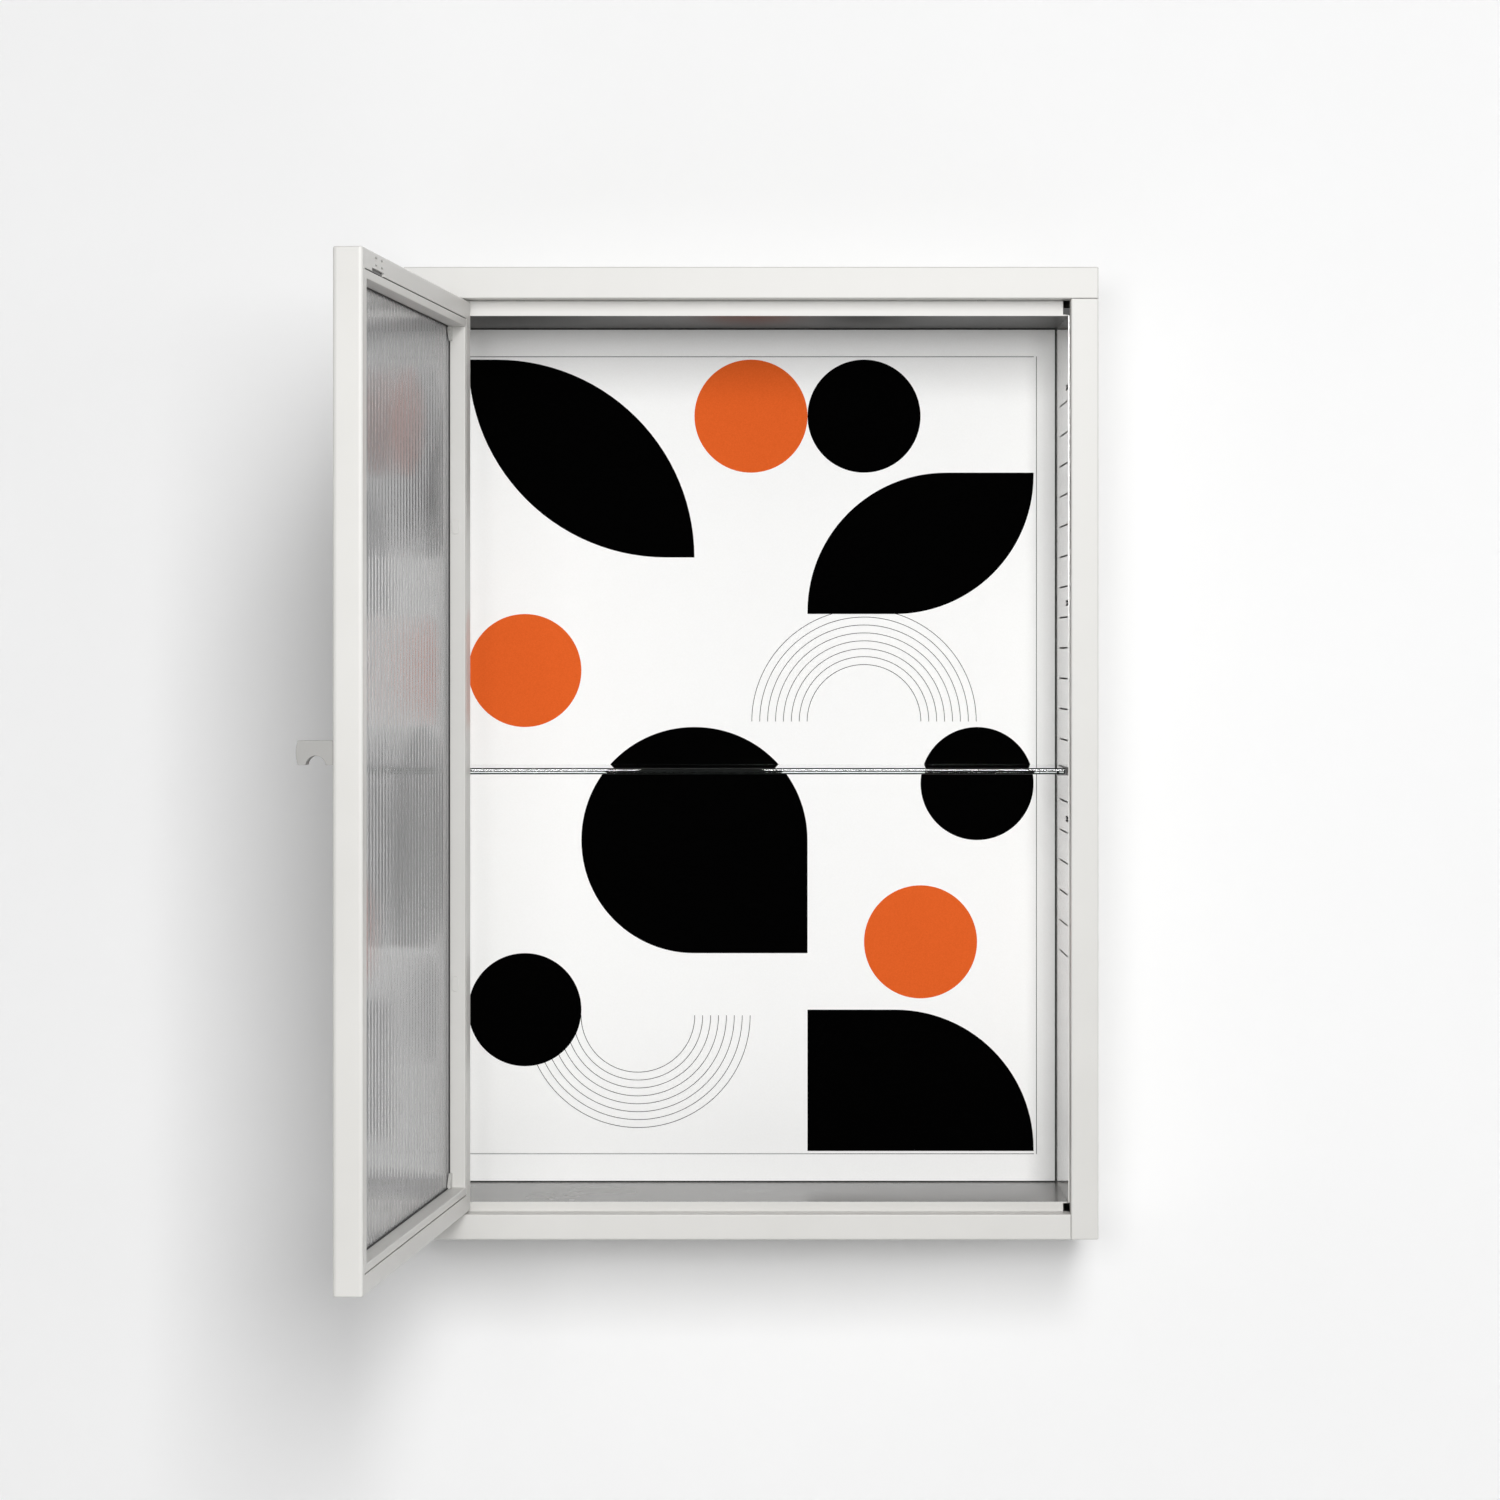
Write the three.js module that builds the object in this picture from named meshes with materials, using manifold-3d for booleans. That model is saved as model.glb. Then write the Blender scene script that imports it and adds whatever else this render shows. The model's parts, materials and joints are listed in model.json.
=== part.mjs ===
// Wall mounted showcase: a shallow folded-steel cabinet with an inset door of
// reeded glass, one glass shelf and a printed sheet on the back.
//
// Millimetres, +Z up. The origin is the centre of the back face, where the
// cabinet meets the wall. The front faces -Y and the hinges are on the left.

import * as THREE from "three";
import { mergeVertices } from "three/addons/utils/BufferGeometryUtils.js";
import Module from "manifold-3d";

// ---------------------------------------------------------------- dimensions

const CLEAR = 0.3; // gap between pieces that touch
const OVERCUT = 1; // how far a cutting tool runs past what it cuts

// cabinet
const WIDTH = 548;
const HEIGHT = 767;
const DEPTH = 165;
const SHEET = 1.5; // outer steel
const THIN_SHEET = 1.2; // inner steel
const LINER_SHEET = 1.0;
const STILE = 22; // width of the side panels' front faces
const TOP_FACE = 25; // height of the top panel's front face
const BOTTOM_FACE = 19.5;
const STOP_SETBACK = 21; // door stops behind the front face
const TOP_STOP = 12.3; // height of the stop flange above the ceiling
const BOTTOM_STOP = 8;
const RETURN = 15; // inner return fold of a side panel
const REAR_FLANGE = 20;

// display
const PRINT_WIDTH = 500;
const PRINT_HEIGHT = 700;
const PRINT_THICK = 0.6;
const BOARD_THICK = 5;

// slotted liners and shelf
const LINER_SETBACK = 12; // from the cabinet front to a liner's front edge
const SLOT_COUNT = 19;
const SLOT_PITCH = 24.5;
const SLOT_TOP_Z = 279.2;
const SLOT_HEIGHT = 1.3;
const SLOT_FRONT = 20; // from the cabinet front to a slot's front end
const SLOT_BACK = 118;
const SHELF_SLOT = 12; // index of the slot that carries the shelf
const SHELF_THICK = 5;
const SHELF_FRONT = 25; // from the cabinet front to the shelf's front edge
const SHELF_BACK = 153;
const SHELF_END_GAP = 1.6;
const HOOK_SLOTS = [0, 7, 14]; // a hook sits above each of these slots
const HOOK_RISE = 11;
const HOOK_TALL = 4.6;
const HOOK_LONG = 30;
const HOOK_SETBACK = 13.5;
const HOOK_STEM = 0.6; // half height of a hook's stem
const HOOK_PRONG = 1;
const CLIP_WIDTH = 14; // shelf clips
const CLIP_FROM_SLOT_END = 12;

// door
const DOOR_THICK = 20.7;
const DOOR_SIDE_GAP = 2;
const DOOR_END_GAP = 2;
const DOOR_EDGE_RADIUS = 3;
const RAIL_TRAY = 14; // inner-face width of the tray along the rails
const HINGE_TRAY = 21;
const FREE_TRAY = 10;
const BEAD = 7; // inner-face width of the glazing frame
const LIP_THICK = 1.5; // tray skin in front of the glass
const SEAL_THICK = 1.6;
const GLASS_THICK = 4;
const GLASS_GAP = 1; // between the glass and the tray
const GLASS_FREE_GAP = 2.5; // more at the free edge, where the handle's screw is
const FLUTE_PITCH = 13.6;
const FLUTE_RISE = 1.3;
const FLUTE_STEPS = 6;
const OPEN_ANGLE = 95; // degrees, how far the door stands open

// door hinge: pins on an upright axis close to the door's hinge edge
const PIVOT_INSET = 11.5; // from the door's hinge edge
const PIVOT_DEPTH = 5; // behind the door's outer face
const PIN_RADIUS = 2;
const PIN_IN_DOOR = 12;
const PIN_OUT = 12;
const BUSH_RADIUS = 3.1;
const BUSH_FLANGE_RADIUS = 4.6;
const BUSH_FLANGE = 1.2;
const BUSH_LENGTH = 9;
const BUSH_FIT = 0.2; // extra radius of the hole that takes a bush
const RUNNING_CLEARANCE = 0.12;
const STOP_HINGE_END = 24; // stop flange starts this far from the opening's edge
const STOP_FREE_END = 4.5;
const SWEEP_RELIEF = 3.2; // ceiling and floor cut back behind the stop line there

// handle, on the door's outer face near the free edge
const HANDLE_REACH = 25.7;
const HANDLE_TALL = 16.7;
const HANDLE_WIDE = 12;
const HANDLE_END_RADIUS = 4;
const HANDLE_INSET = 3; // from the door's free edge
const HANDLE_Z = 10;
const FINGER_WIDTH = 13.7;
const FINGER_DEPTH = 6.3;
const FINGER_FROM_DOOR = 5.5;
const SCREW_RADIUS = 2;
const SCREW_HEAD_RADIUS = 3.1;
const SCREW_HEAD_TALL = 2.4;
const SCREW_LENGTH = 14;
const SCREW_RISE = 3.2; // puts the screw above the finger notch

// catch in the door's top rail
const MAGNET_LENGTH = 50;
const MAGNET_FROM_FREE_EDGE = 39;
const MAGNET_DEEP = 5;
const MAGNET_END_GAP = 1;
const CATCH_HOLE_RADIUS = 1.1;
const CATCH_HOLE_BACK = [17, 41]; // from the magnet's near end
const CATCH_HOLE_DROP = [4, 9]; // from the door's top edge
const CATCH_SLOT_HEIGHT = 2.5;

// keyholes in the top panel's rear flange
const KEYHOLE_X = 190;
const KEYHOLE_HEAD = 4.5;
const KEYHOLE_SLOT = 2.3;
const KEYHOLE_RISE = 8;

// ------------------------------------------------------------ derived places

const FRONT_Y = -DEPTH;
const STOP_Y = FRONT_Y + STOP_SETBACK;
const TOP_Z = HEIGHT / 2;
const BOTTOM_Z = -HEIGHT / 2;
const OPEN_X = WIDTH / 2 - STILE; // half width of the opening
const OPEN_TOP = TOP_Z - TOP_FACE;
const OPEN_BOTTOM = BOTTOM_Z + BOTTOM_FACE;
const CEILING_Z = OPEN_TOP - TOP_STOP;
const FLOOR_Z = OPEN_BOTTOM + BOTTOM_STOP;
const BOARD_FRONT_Y = -(THIN_SHEET + CLEAR + BOARD_THICK);
const PRINT_FRONT_Y = BOARD_FRONT_Y - CLEAR - PRINT_THICK;
const DOOR_WIDTH = 2 * (OPEN_X - DOOR_SIDE_GAP);
const DOOR_TOP = OPEN_TOP - DOOR_END_GAP;
const DOOR_BOTTOM = OPEN_BOTTOM + DOOR_END_GAP;
const PIVOT_X = -OPEN_X + DOOR_SIDE_GAP + PIVOT_INSET;
const PIVOT_Y = FRONT_Y + PIVOT_DEPTH;
const SHELF_Z = SLOT_TOP_Z - SHELF_SLOT * SLOT_PITCH;
const HOOK_HEIGHTS = HOOK_SLOTS.map((slot) => SLOT_TOP_Z - slot * SLOT_PITCH + HOOK_RISE);

// the door's own frame has its origin on the pivot axis, closed, X to the free edge
const HINGE_EDGE = -PIVOT_INSET;
const FREE_EDGE = HINGE_EDGE + DOOR_WIDTH;
const DOOR_OUTER_Y = -PIVOT_DEPTH;
const DOOR_INNER_Y = DOOR_OUTER_Y + DOOR_THICK;
const GLASS_OUTER_Y = DOOR_OUTER_Y + LIP_THICK + CLEAR + SEAL_THICK + CLEAR;
const GLASS_INNER_Y = GLASS_OUTER_Y + GLASS_THICK;

// ----------------------------------------------------------------- materials

const FINISHES = {
  painted_steel: { color: 0xd8d6d1, roughness: 0.5, metalness: 0.0 },
  glass: { color: 0xcfe0dc, roughness: 0.08, metalness: 0.0, transparent: true, opacity: 0.4 },
  print: { color: 0xf2f2ee, roughness: 0.8, metalness: 0.0 },
  board: { color: 0xdedcd6, roughness: 0.9, metalness: 0.0 },
  plastic: { color: 0xbab8b2, roughness: 0.5, metalness: 0.0 },
  dark_steel: { color: 0x4a4a48, roughness: 0.4, metalness: 0.8 },
  rubber: { color: 0x2c2c2b, roughness: 0.9, metalness: 0.0 },
};

// -------------------------------------------------------------------- solids

const wasm = await Module();
wasm.setup();

function toSolid(geometry) {
  const bare = geometry.clone();
  bare.deleteAttribute("normal");
  bare.deleteAttribute("uv");
  const merged = mergeVertices(bare, 1e-4);
  const mesh = new wasm.Mesh({
    numProp: 3,
    vertProperties: new Float32Array(merged.attributes.position.array),
    triVerts: new Uint32Array(merged.index.array),
  });
  return new wasm.Manifold(mesh);
}

function toGeometry(solid) {
  const mesh = solid.getMesh();
  const geometry = new THREE.BufferGeometry();
  geometry.setAttribute("position", new THREE.BufferAttribute(mesh.vertProperties, 3));
  geometry.setIndex(new THREE.BufferAttribute(mesh.triVerts, 1));
  geometry.computeVertexNormals();
  return geometry;
}

function join(first, ...others) {
  const joined = others.reduce((solid, other) => solid.add(toSolid(other)), toSolid(first));
  return toGeometry(joined);
}

function cut(first, ...tools) {
  const left = tools.reduce((solid, tool) => solid.subtract(toSolid(tool)), toSolid(first));
  return toGeometry(left);
}

// a box from its lowest to its highest corner
function block(low, high) {
  const size = high.map((value, axis) => value - low[axis]);
  const middle = high.map((value, axis) => (value + low[axis]) / 2);
  return new THREE.BoxGeometry(...size).translate(...middle);
}

// an upright cylinder between two heights
function post(x, y, radius, lowZ, highZ, sides = 24) {
  const geometry = new THREE.CylinderGeometry(radius, radius, highZ - lowZ, sides);
  return geometry.rotateX(Math.PI / 2).translate(x, y, (lowZ + highZ) / 2);
}

// a cylinder along Y between two depths
function dowel(x, z, radius, lowY, highY, sides = 16) {
  const geometry = new THREE.CylinderGeometry(radius, radius, highY - lowY, sides);
  return geometry.translate(x, (lowY + highY) / 2, z);
}

function outline(points) {
  return new THREE.Shape(points.map(([u, v]) => new THREE.Vector2(u, v)));
}

// sweep an outline drawn in two row axes along the third, from one place to another
function sweepX(shape, fromX, toX) {
  const options = { depth: toX - fromX, bevelEnabled: false, curveSegments: 6 };
  const geometry = new THREE.ExtrudeGeometry(shape, options);
  geometry.rotateX(Math.PI / 2).rotateZ(Math.PI / 2); // outline is (Y, Z)
  return geometry.translate(fromX, 0, 0);
}

function sweepY(shape, fromY, toY) {
  const options = { depth: toY - fromY, bevelEnabled: false, curveSegments: 6 };
  const geometry = new THREE.ExtrudeGeometry(shape, options);
  geometry.rotateX(Math.PI / 2); // outline is (X, Z)
  return geometry.translate(0, toY, 0);
}

function sweepZ(shape, fromZ, toZ) {
  const options = { depth: toZ - fromZ, bevelEnabled: false, curveSegments: 6 };
  const geometry = new THREE.ExtrudeGeometry(shape, options);
  return geometry.translate(0, 0, fromZ); // outline is (X, Y)
}

function rectangle(lowU, lowV, highU, highV) {
  return outline([[lowU, lowV], [highU, lowV], [highU, highV], [lowU, highV]]);
}

const showcase = new THREE.Group();
const door = new THREE.Group();
door.position.set(PIVOT_X, PIVOT_Y, 0);
door.rotation.z = -THREE.MathUtils.degToRad(OPEN_ANGLE);
showcase.add(door);

function add(group, name, geometry, finish) {
  const mesh = new THREE.Mesh(geometry, new THREE.MeshStandardMaterial(FINISHES[finish]));
  mesh.name = name;
  group.add(mesh);
}

// ------------------------------------------------------------- cabinet shell

// folded side panel: outer skin, front face, inner return and rear flange
function sidePanel(side) {
  const inner = side * (OPEN_X + CLEAR);
  const outer = side * (WIDTH / 2);
  const returnEnd = FRONT_Y + RETURN;
  const profile = outline([
    [inner, FRONT_Y],
    [outer, FRONT_Y],
    [outer, 0],
    [inner, 0],
    [inner, -SHEET],
    [outer - side * SHEET, -SHEET],
    [outer - side * SHEET, FRONT_Y + SHEET],
    [inner + side * SHEET, FRONT_Y + SHEET],
    [inner + side * SHEET, returnEnd],
    [inner, returnEnd],
  ]);
  const channel = sweepZ(profile, BOTTOM_Z, OPEN_TOP - CLEAR);
  const sides = [inner, outer].sort((a, b) => a - b);
  const foot = block([sides[0], FRONT_Y, BOTTOM_Z], [sides[1], 0, BOTTOM_Z + SHEET]);
  return join(channel, foot);
}

// flat liner behind the stile with the rows of shelf slots and the hook holes
function liner() {
  const rear = BOARD_FRONT_Y - CLEAR;
  const plate = rectangle(FRONT_Y + LINER_SETBACK, FLOOR_Z + CLEAR, rear, CEILING_Z - CLEAR);
  for (let row = 0; row < SLOT_COUNT; row += 1) {
    const z = SLOT_TOP_Z - row * SLOT_PITCH;
    const low = z - SLOT_HEIGHT / 2;
    const high = z + SLOT_HEIGHT / 2;
    plate.holes.push(rectangle(FRONT_Y + SLOT_FRONT, low, FRONT_Y + SLOT_BACK, high));
  }
  for (const z of HOOK_HEIGHTS) {
    const front = FRONT_Y + HOOK_SETBACK;
    const half = HOOK_TALL / 2;
    plate.holes.push(rectangle(front, z - half, front + HOOK_LONG, z + half));
  }
  return plate;
}

// dark forked hook that shows in a hole of the liner and holds it to the side panel
function linerHook(z) {
  const front = FRONT_Y + HOOK_SETBACK + CLEAR;
  const back = front + HOOK_LONG - 2 * CLEAR;
  const half = HOOK_TALL / 2 - CLEAR;
  const middle = (front + back) / 2;
  return outline([
    [front, z - HOOK_STEM],
    [middle, z - HOOK_STEM],
    [back, z - half],
    [back, z - half + HOOK_PRONG],
    [middle + 3 * HOOK_PRONG, z],
    [back, z + half - HOOK_PRONG],
    [back, z + half],
    [middle, z + HOOK_STEM],
    [front, z + HOOK_STEM],
  ]);
}

for (const [name, side] of [["left", -1], ["right", 1]]) {
  const face = side * OPEN_X;
  const [low, high] = [face, face - side * LINER_SHEET].sort((a, b) => a - b);
  add(showcase, `${name}_side_panel`, sidePanel(side), "painted_steel");
  add(showcase, `${name}_liner`, sweepX(liner(), low, high), "painted_steel");
  HOOK_HEIGHTS.forEach((z, index) => {
    const hook = sweepX(linerHook(z), low, high);
    add(showcase, `${name}_liner_hook_${index + 1}`, hook, "dark_steel");
  });
}

// top and bottom panels: face, outer skin, short return towards the opening, rear flange
function endPanelProfile(outerZ, openingZ) {
  const inward = Math.sign(openingZ - outerZ);
  const rearEnd = outerZ + inward * REAR_FLANGE;
  const returnEnd = STOP_Y + THIN_SHEET;
  return outline([
    [FRONT_Y, outerZ],
    [0, outerZ],
    [0, rearEnd],
    [-SHEET, rearEnd],
    [-SHEET, outerZ + inward * SHEET],
    [FRONT_Y + SHEET, outerZ + inward * SHEET],
    [FRONT_Y + SHEET, openingZ - inward * SHEET],
    [returnEnd, openingZ - inward * SHEET],
    [returnEnd, openingZ],
    [FRONT_Y, openingZ],
  ]);
}

function keyhole(x) {
  const headZ = TOP_Z - SHEET - KEYHOLE_RISE - KEYHOLE_HEAD / 2;
  const head = dowel(x, headZ, KEYHOLE_HEAD, -SHEET - OVERCUT, OVERCUT, 24);
  const slotLow = [x - KEYHOLE_SLOT, -SHEET - OVERCUT, headZ];
  const slotHigh = [x + KEYHOLE_SLOT, OVERCUT, headZ + KEYHOLE_RISE];
  return join(head, block(slotLow, slotHigh));
}

function hingeHole(lowZ, highZ) {
  return post(PIVOT_X, PIVOT_Y, BUSH_RADIUS + BUSH_FIT, lowZ - OVERCUT, highZ + OVERCUT);
}

const halfWidth = WIDTH / 2;
const topChannel = sweepX(endPanelProfile(TOP_Z, OPEN_TOP), -halfWidth, halfWidth);
const topEnds = [-1, 1].map((side) => {
  const [low, high] = [side * halfWidth, side * (halfWidth - SHEET)].sort((a, b) => a - b);
  return block([low, FRONT_Y, OPEN_TOP], [high, 0, TOP_Z]);
});
const topPanel = cut(
  join(topChannel, ...topEnds),
  hingeHole(OPEN_TOP, OPEN_TOP + SHEET),
  keyhole(-KEYHOLE_X),
  keyhole(KEYHOLE_X),
);
add(showcase, "top_panel", topPanel, "painted_steel");

const bottomChannel = sweepX(endPanelProfile(BOTTOM_Z, OPEN_BOTTOM), -OPEN_X, OPEN_X);
const bottomPanel = cut(bottomChannel, hingeHole(OPEN_BOTTOM - SHEET, OPEN_BOTTOM));
add(showcase, "bottom_panel", bottomPanel, "painted_steel");

// ceiling and floor sheets, each with a stop flange that the closed door meets
function innerSheet(faceZ, openingZ) {
  const outward = Math.sign(openingZ - faceZ);
  const [lowZ, highZ] = [faceZ, faceZ + outward * THIN_SHEET].sort((a, b) => a - b);
  const edge = OPEN_X - CLEAR;
  const rear = BOARD_FRONT_Y - CLEAR;
  const stopLeft = -OPEN_X + STOP_HINGE_END;
  const stopRight = OPEN_X - STOP_FREE_END;
  const sheet = sweepZ(
    outline([
      [-edge, STOP_Y + SWEEP_RELIEF],
      [stopLeft, STOP_Y + SWEEP_RELIEF],
      [stopLeft, STOP_Y],
      [stopRight, STOP_Y],
      [edge, STOP_Y],
      [edge, rear],
      [-edge, rear],
    ]),
    lowZ,
    highZ,
  );
  const [flangeLow, flangeHigh] = [faceZ, openingZ - outward * CLEAR].sort((a, b) => a - b);
  const flange = block(
    [stopLeft, STOP_Y, flangeLow],
    [stopRight, STOP_Y + THIN_SHEET, flangeHigh],
  );
  return join(sheet, flange);
}

add(showcase, "ceiling_panel", innerSheet(CEILING_Z, OPEN_TOP), "painted_steel");
add(showcase, "floor_panel", innerSheet(FLOOR_Z, OPEN_BOTTOM), "painted_steel");

// back sheet between the rear flanges, and the board that carries the print
const backPanel = block(
  [-OPEN_X, -THIN_SHEET, BOTTOM_Z + REAR_FLANGE + CLEAR],
  [OPEN_X, 0, TOP_Z - REAR_FLANGE - CLEAR],
);
add(showcase, "back_panel", backPanel, "painted_steel");
const backingBoard = block(
  [-OPEN_X, BOARD_FRONT_Y, FLOOR_Z - BOTTOM_STOP],
  [OPEN_X, BOARD_FRONT_Y + BOARD_THICK, OPEN_TOP],
);
add(showcase, "backing_board", backingBoard, "board");
const printMiddle = (CEILING_Z + FLOOR_Z) / 2;
const displayPrint = block(
  [-PRINT_WIDTH / 2, PRINT_FRONT_Y, printMiddle - PRINT_HEIGHT / 2],
  [PRINT_WIDTH / 2, PRINT_FRONT_Y + PRINT_THICK, printMiddle + PRINT_HEIGHT / 2],
);
add(showcase, "display_print", displayPrint, "print");

// --------------------------------------------------------------------- shelf

const linerFace = OPEN_X - LINER_SHEET;
const shelfEnd = linerFace - SHELF_END_GAP;
const shelfBottom = SHELF_Z - SHELF_THICK / 2;
const shelfGlass = block(
  [-shelfEnd, FRONT_Y + SHELF_FRONT, shelfBottom],
  [shelfEnd, FRONT_Y + SHELF_BACK, shelfBottom + SHELF_THICK],
);
add(showcase, "shelf_glass", shelfGlass, "glass");

// thin bent clip: a tongue in the slot, a leg down the liner and a tab under the glass
function shelfClip(side, lowY, highY) {
  const thick = 0.8;
  const tab = 8;
  const tongue = 4;
  const wall = side * (linerFace - CLEAR);
  const under = shelfBottom - CLEAR;
  const tongueHalf = thick / 2;
  const profile = outline([
    [wall - side * tab, under - thick],
    [wall, under - thick],
    [wall, SHELF_Z - tongueHalf],
    [wall + side * tongue, SHELF_Z - tongueHalf],
    [wall + side * tongue, SHELF_Z + tongueHalf],
    [wall - side * thick, SHELF_Z + tongueHalf],
    [wall - side * thick, under],
    [wall - side * tab, under],
  ]);
  return sweepY(profile, lowY, highY);
}

const clipPlaces = {
  front: FRONT_Y + SLOT_FRONT + CLIP_FROM_SLOT_END,
  rear: FRONT_Y + SLOT_BACK - CLIP_FROM_SLOT_END - CLIP_WIDTH,
};
for (const [sideName, side] of [["left", -1], ["right", 1]]) {
  for (const [place, y] of Object.entries(clipPlaces)) {
    const clip = shelfClip(side, y, y + CLIP_WIDTH);
    add(showcase, `shelf_clip_${sideName}_${place}`, clip, "dark_steel");
  }
}

// -------------------------------------------------------------- hinge bushes

function hingeBush(openingZ, outward) {
  const bore = PIN_RADIUS + RUNNING_CLEARANCE;
  const flangeEnd = openingZ - outward * CLEAR;
  const flangeStart = flangeEnd - outward * BUSH_FLANGE;
  const profile = [
    [bore, flangeStart],
    [BUSH_FLANGE_RADIUS, flangeStart],
    [BUSH_FLANGE_RADIUS, flangeEnd],
    [BUSH_RADIUS, flangeEnd],
    [BUSH_RADIUS, flangeEnd + outward * BUSH_LENGTH],
    [bore, flangeEnd + outward * BUSH_LENGTH],
    [bore, flangeStart],
  ];
  const points = profile.map(([r, z]) => new THREE.Vector2(r, z));
  if (outward < 0) {
    points.reverse();
  }
  const lathe = new THREE.LatheGeometry(points, 32);
  return lathe.rotateX(Math.PI / 2).translate(PIVOT_X, PIVOT_Y, 0);
}

add(showcase, "hinge_bush_top", hingeBush(OPEN_TOP, 1), "plastic");
add(showcase, "hinge_bush_bottom", hingeBush(OPEN_BOTTOM, -1), "plastic");

// ---------------------------------------------------------------- door frame

// folded member, drawn across its section: u runs in from the door's edge, v from
// the outer face to the inner face. It is open towards the glass, with a lip in front.
function memberProfile(tray, place) {
  const r = DOOR_EDGE_RADIUS;
  const points = [];
  const steps = 4;
  for (let step = 0; step <= steps; step += 1) {
    const angle = (step / steps) * (Math.PI / 2);
    points.push([r - r * Math.cos(angle), DOOR_THICK - r + r * Math.sin(angle)]);
  }
  points.push([tray, DOOR_THICK], [tray, DOOR_THICK - SHEET], [SHEET, DOOR_THICK - SHEET]);
  points.push([SHEET, LIP_THICK], [tray + BEAD, LIP_THICK], [tray + BEAD, 0]);
  for (let step = 0; step <= steps; step += 1) {
    const angle = (step / steps) * (Math.PI / 2);
    points.push([r - r * Math.sin(angle), r - r * Math.cos(angle)]);
  }
  return outline(points.map(([u, v]) => place(u, v)));
}

function endProfile(tray, place) {
  const high = DOOR_THICK;
  const inset = 0.01; // keeps the end plate just inside the channel's skin
  const points = [[inset, DOOR_EDGE_RADIUS], [DOOR_EDGE_RADIUS, inset], [tray + BEAD, inset]];
  points.push([tray + BEAD, LIP_THICK], [tray, LIP_THICK], [tray, high - inset]);
  points.push([DOOR_EDGE_RADIUS, high - inset], [inset, high - DOOR_EDGE_RADIUS]);
  return outline(points.map(([u, v]) => place(u, v)));
}

// upright members run the full height and their ends are closed
function uprightMember(tray, place) {
  const channel = sweepZ(memberProfile(tray, place), DOOR_BOTTOM, DOOR_TOP);
  const lowEnd = sweepZ(endProfile(tray, place), DOOR_BOTTOM, DOOR_BOTTOM + SHEET);
  const highEnd = sweepZ(endProfile(tray, place), DOOR_TOP - SHEET, DOOR_TOP);
  return join(channel, lowEnd, highEnd);
}

function fromHingeEdge(u, v) {
  return [HINGE_EDGE + u, DOOR_OUTER_Y + v];
}

function fromFreeEdge(u, v) {
  return [FREE_EDGE - u, DOOR_OUTER_Y + v];
}

function fromTopEdge(u, v) {
  return [DOOR_OUTER_Y + v, DOOR_TOP - u];
}

function fromBottomEdge(u, v) {
  return [DOOR_OUTER_Y + v, DOOR_BOTTOM + u];
}

const pinHole = PIN_RADIUS + CLEAR;
const hingeStile = cut(
  uprightMember(HINGE_TRAY, fromHingeEdge),
  post(0, 0, pinHole, DOOR_TOP - 2 * SHEET, DOOR_TOP + SHEET),
  post(0, 0, pinHole, DOOR_BOTTOM - SHEET, DOOR_BOTTOM + 2 * SHEET),
);
add(door, "door_hinge_stile", hingeStile, "painted_steel");

const railStart = HINGE_EDGE + HINGE_TRAY + BEAD + CLEAR;
const railEnd = FREE_EDGE - FREE_TRAY - BEAD - CLEAR;

// four screw holes and the magnet's slot in the top rail's inner skin
function catchCutters() {
  const cutters = [];
  const nearEdge = FREE_EDGE - MAGNET_FROM_FREE_EDGE;
  const skin = [DOOR_INNER_Y - 2 * SHEET, DOOR_INNER_Y + SHEET];
  for (const back of CATCH_HOLE_BACK) {
    for (const drop of CATCH_HOLE_DROP) {
      cutters.push(dowel(nearEdge - back, DOOR_TOP - drop, CATCH_HOLE_RADIUS, ...skin, 12));
    }
  }
  const seamZ = DOOR_TOP - RAIL_TRAY;
  cutters.push(block(
    [nearEdge - MAGNET_LENGTH, skin[0], seamZ - SHEET],
    [nearEdge, skin[1], seamZ + CATCH_SLOT_HEIGHT],
  ));
  return cutters;
}

const topRail = sweepX(memberProfile(RAIL_TRAY, fromTopEdge), railStart, railEnd);
add(door, "door_top_rail", cut(topRail, ...catchCutters()), "painted_steel");
const bottomRail = sweepX(memberProfile(RAIL_TRAY, fromBottomEdge), railStart, railEnd);
add(door, "door_bottom_rail", bottomRail, "painted_steel");

const magnetBack = DOOR_INNER_Y - SHEET - CLEAR;
const magnetEnd = FREE_EDGE - MAGNET_FROM_FREE_EDGE;
const catchMagnet = block(
  [magnetEnd - MAGNET_LENGTH, magnetBack - MAGNET_DEEP, DOOR_TOP - RAIL_TRAY + CLEAR],
  [magnetEnd, magnetBack, DOOR_TOP - SHEET - MAGNET_END_GAP],
);
add(door, "catch_magnet", catchMagnet, "dark_steel");

// ------------------------------------------------------------ glass and frame

const glassLeft = HINGE_EDGE + HINGE_TRAY + GLASS_GAP;
const glassRight = FREE_EDGE - FREE_TRAY - GLASS_FREE_GAP;
const glassLow = DOOR_BOTTOM + RAIL_TRAY + GLASS_GAP;
const glassHigh = DOOR_TOP - RAIL_TRAY - GLASS_GAP;

// flat outside, upright rounded flutes inside
function reededGlass() {
  const width = glassRight - glassLeft;
  const count = Math.round(width / FLUTE_PITCH);
  const pitch = width / count;
  const valley = GLASS_INNER_Y - FLUTE_RISE;
  const points = [[glassLeft, GLASS_OUTER_Y], [glassRight, GLASS_OUTER_Y], [glassRight, valley]];
  for (let step = 1; step <= count * FLUTE_STEPS; step += 1) {
    const along = step / FLUTE_STEPS;
    const rise = FLUTE_RISE * Math.abs(Math.sin(Math.PI * along));
    points.push([glassRight - along * pitch, valley + rise]);
  }
  return sweepZ(outline(points), glassLow, glassHigh);
}

add(door, "reeded_glass", reededGlass(), "glass");

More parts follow.
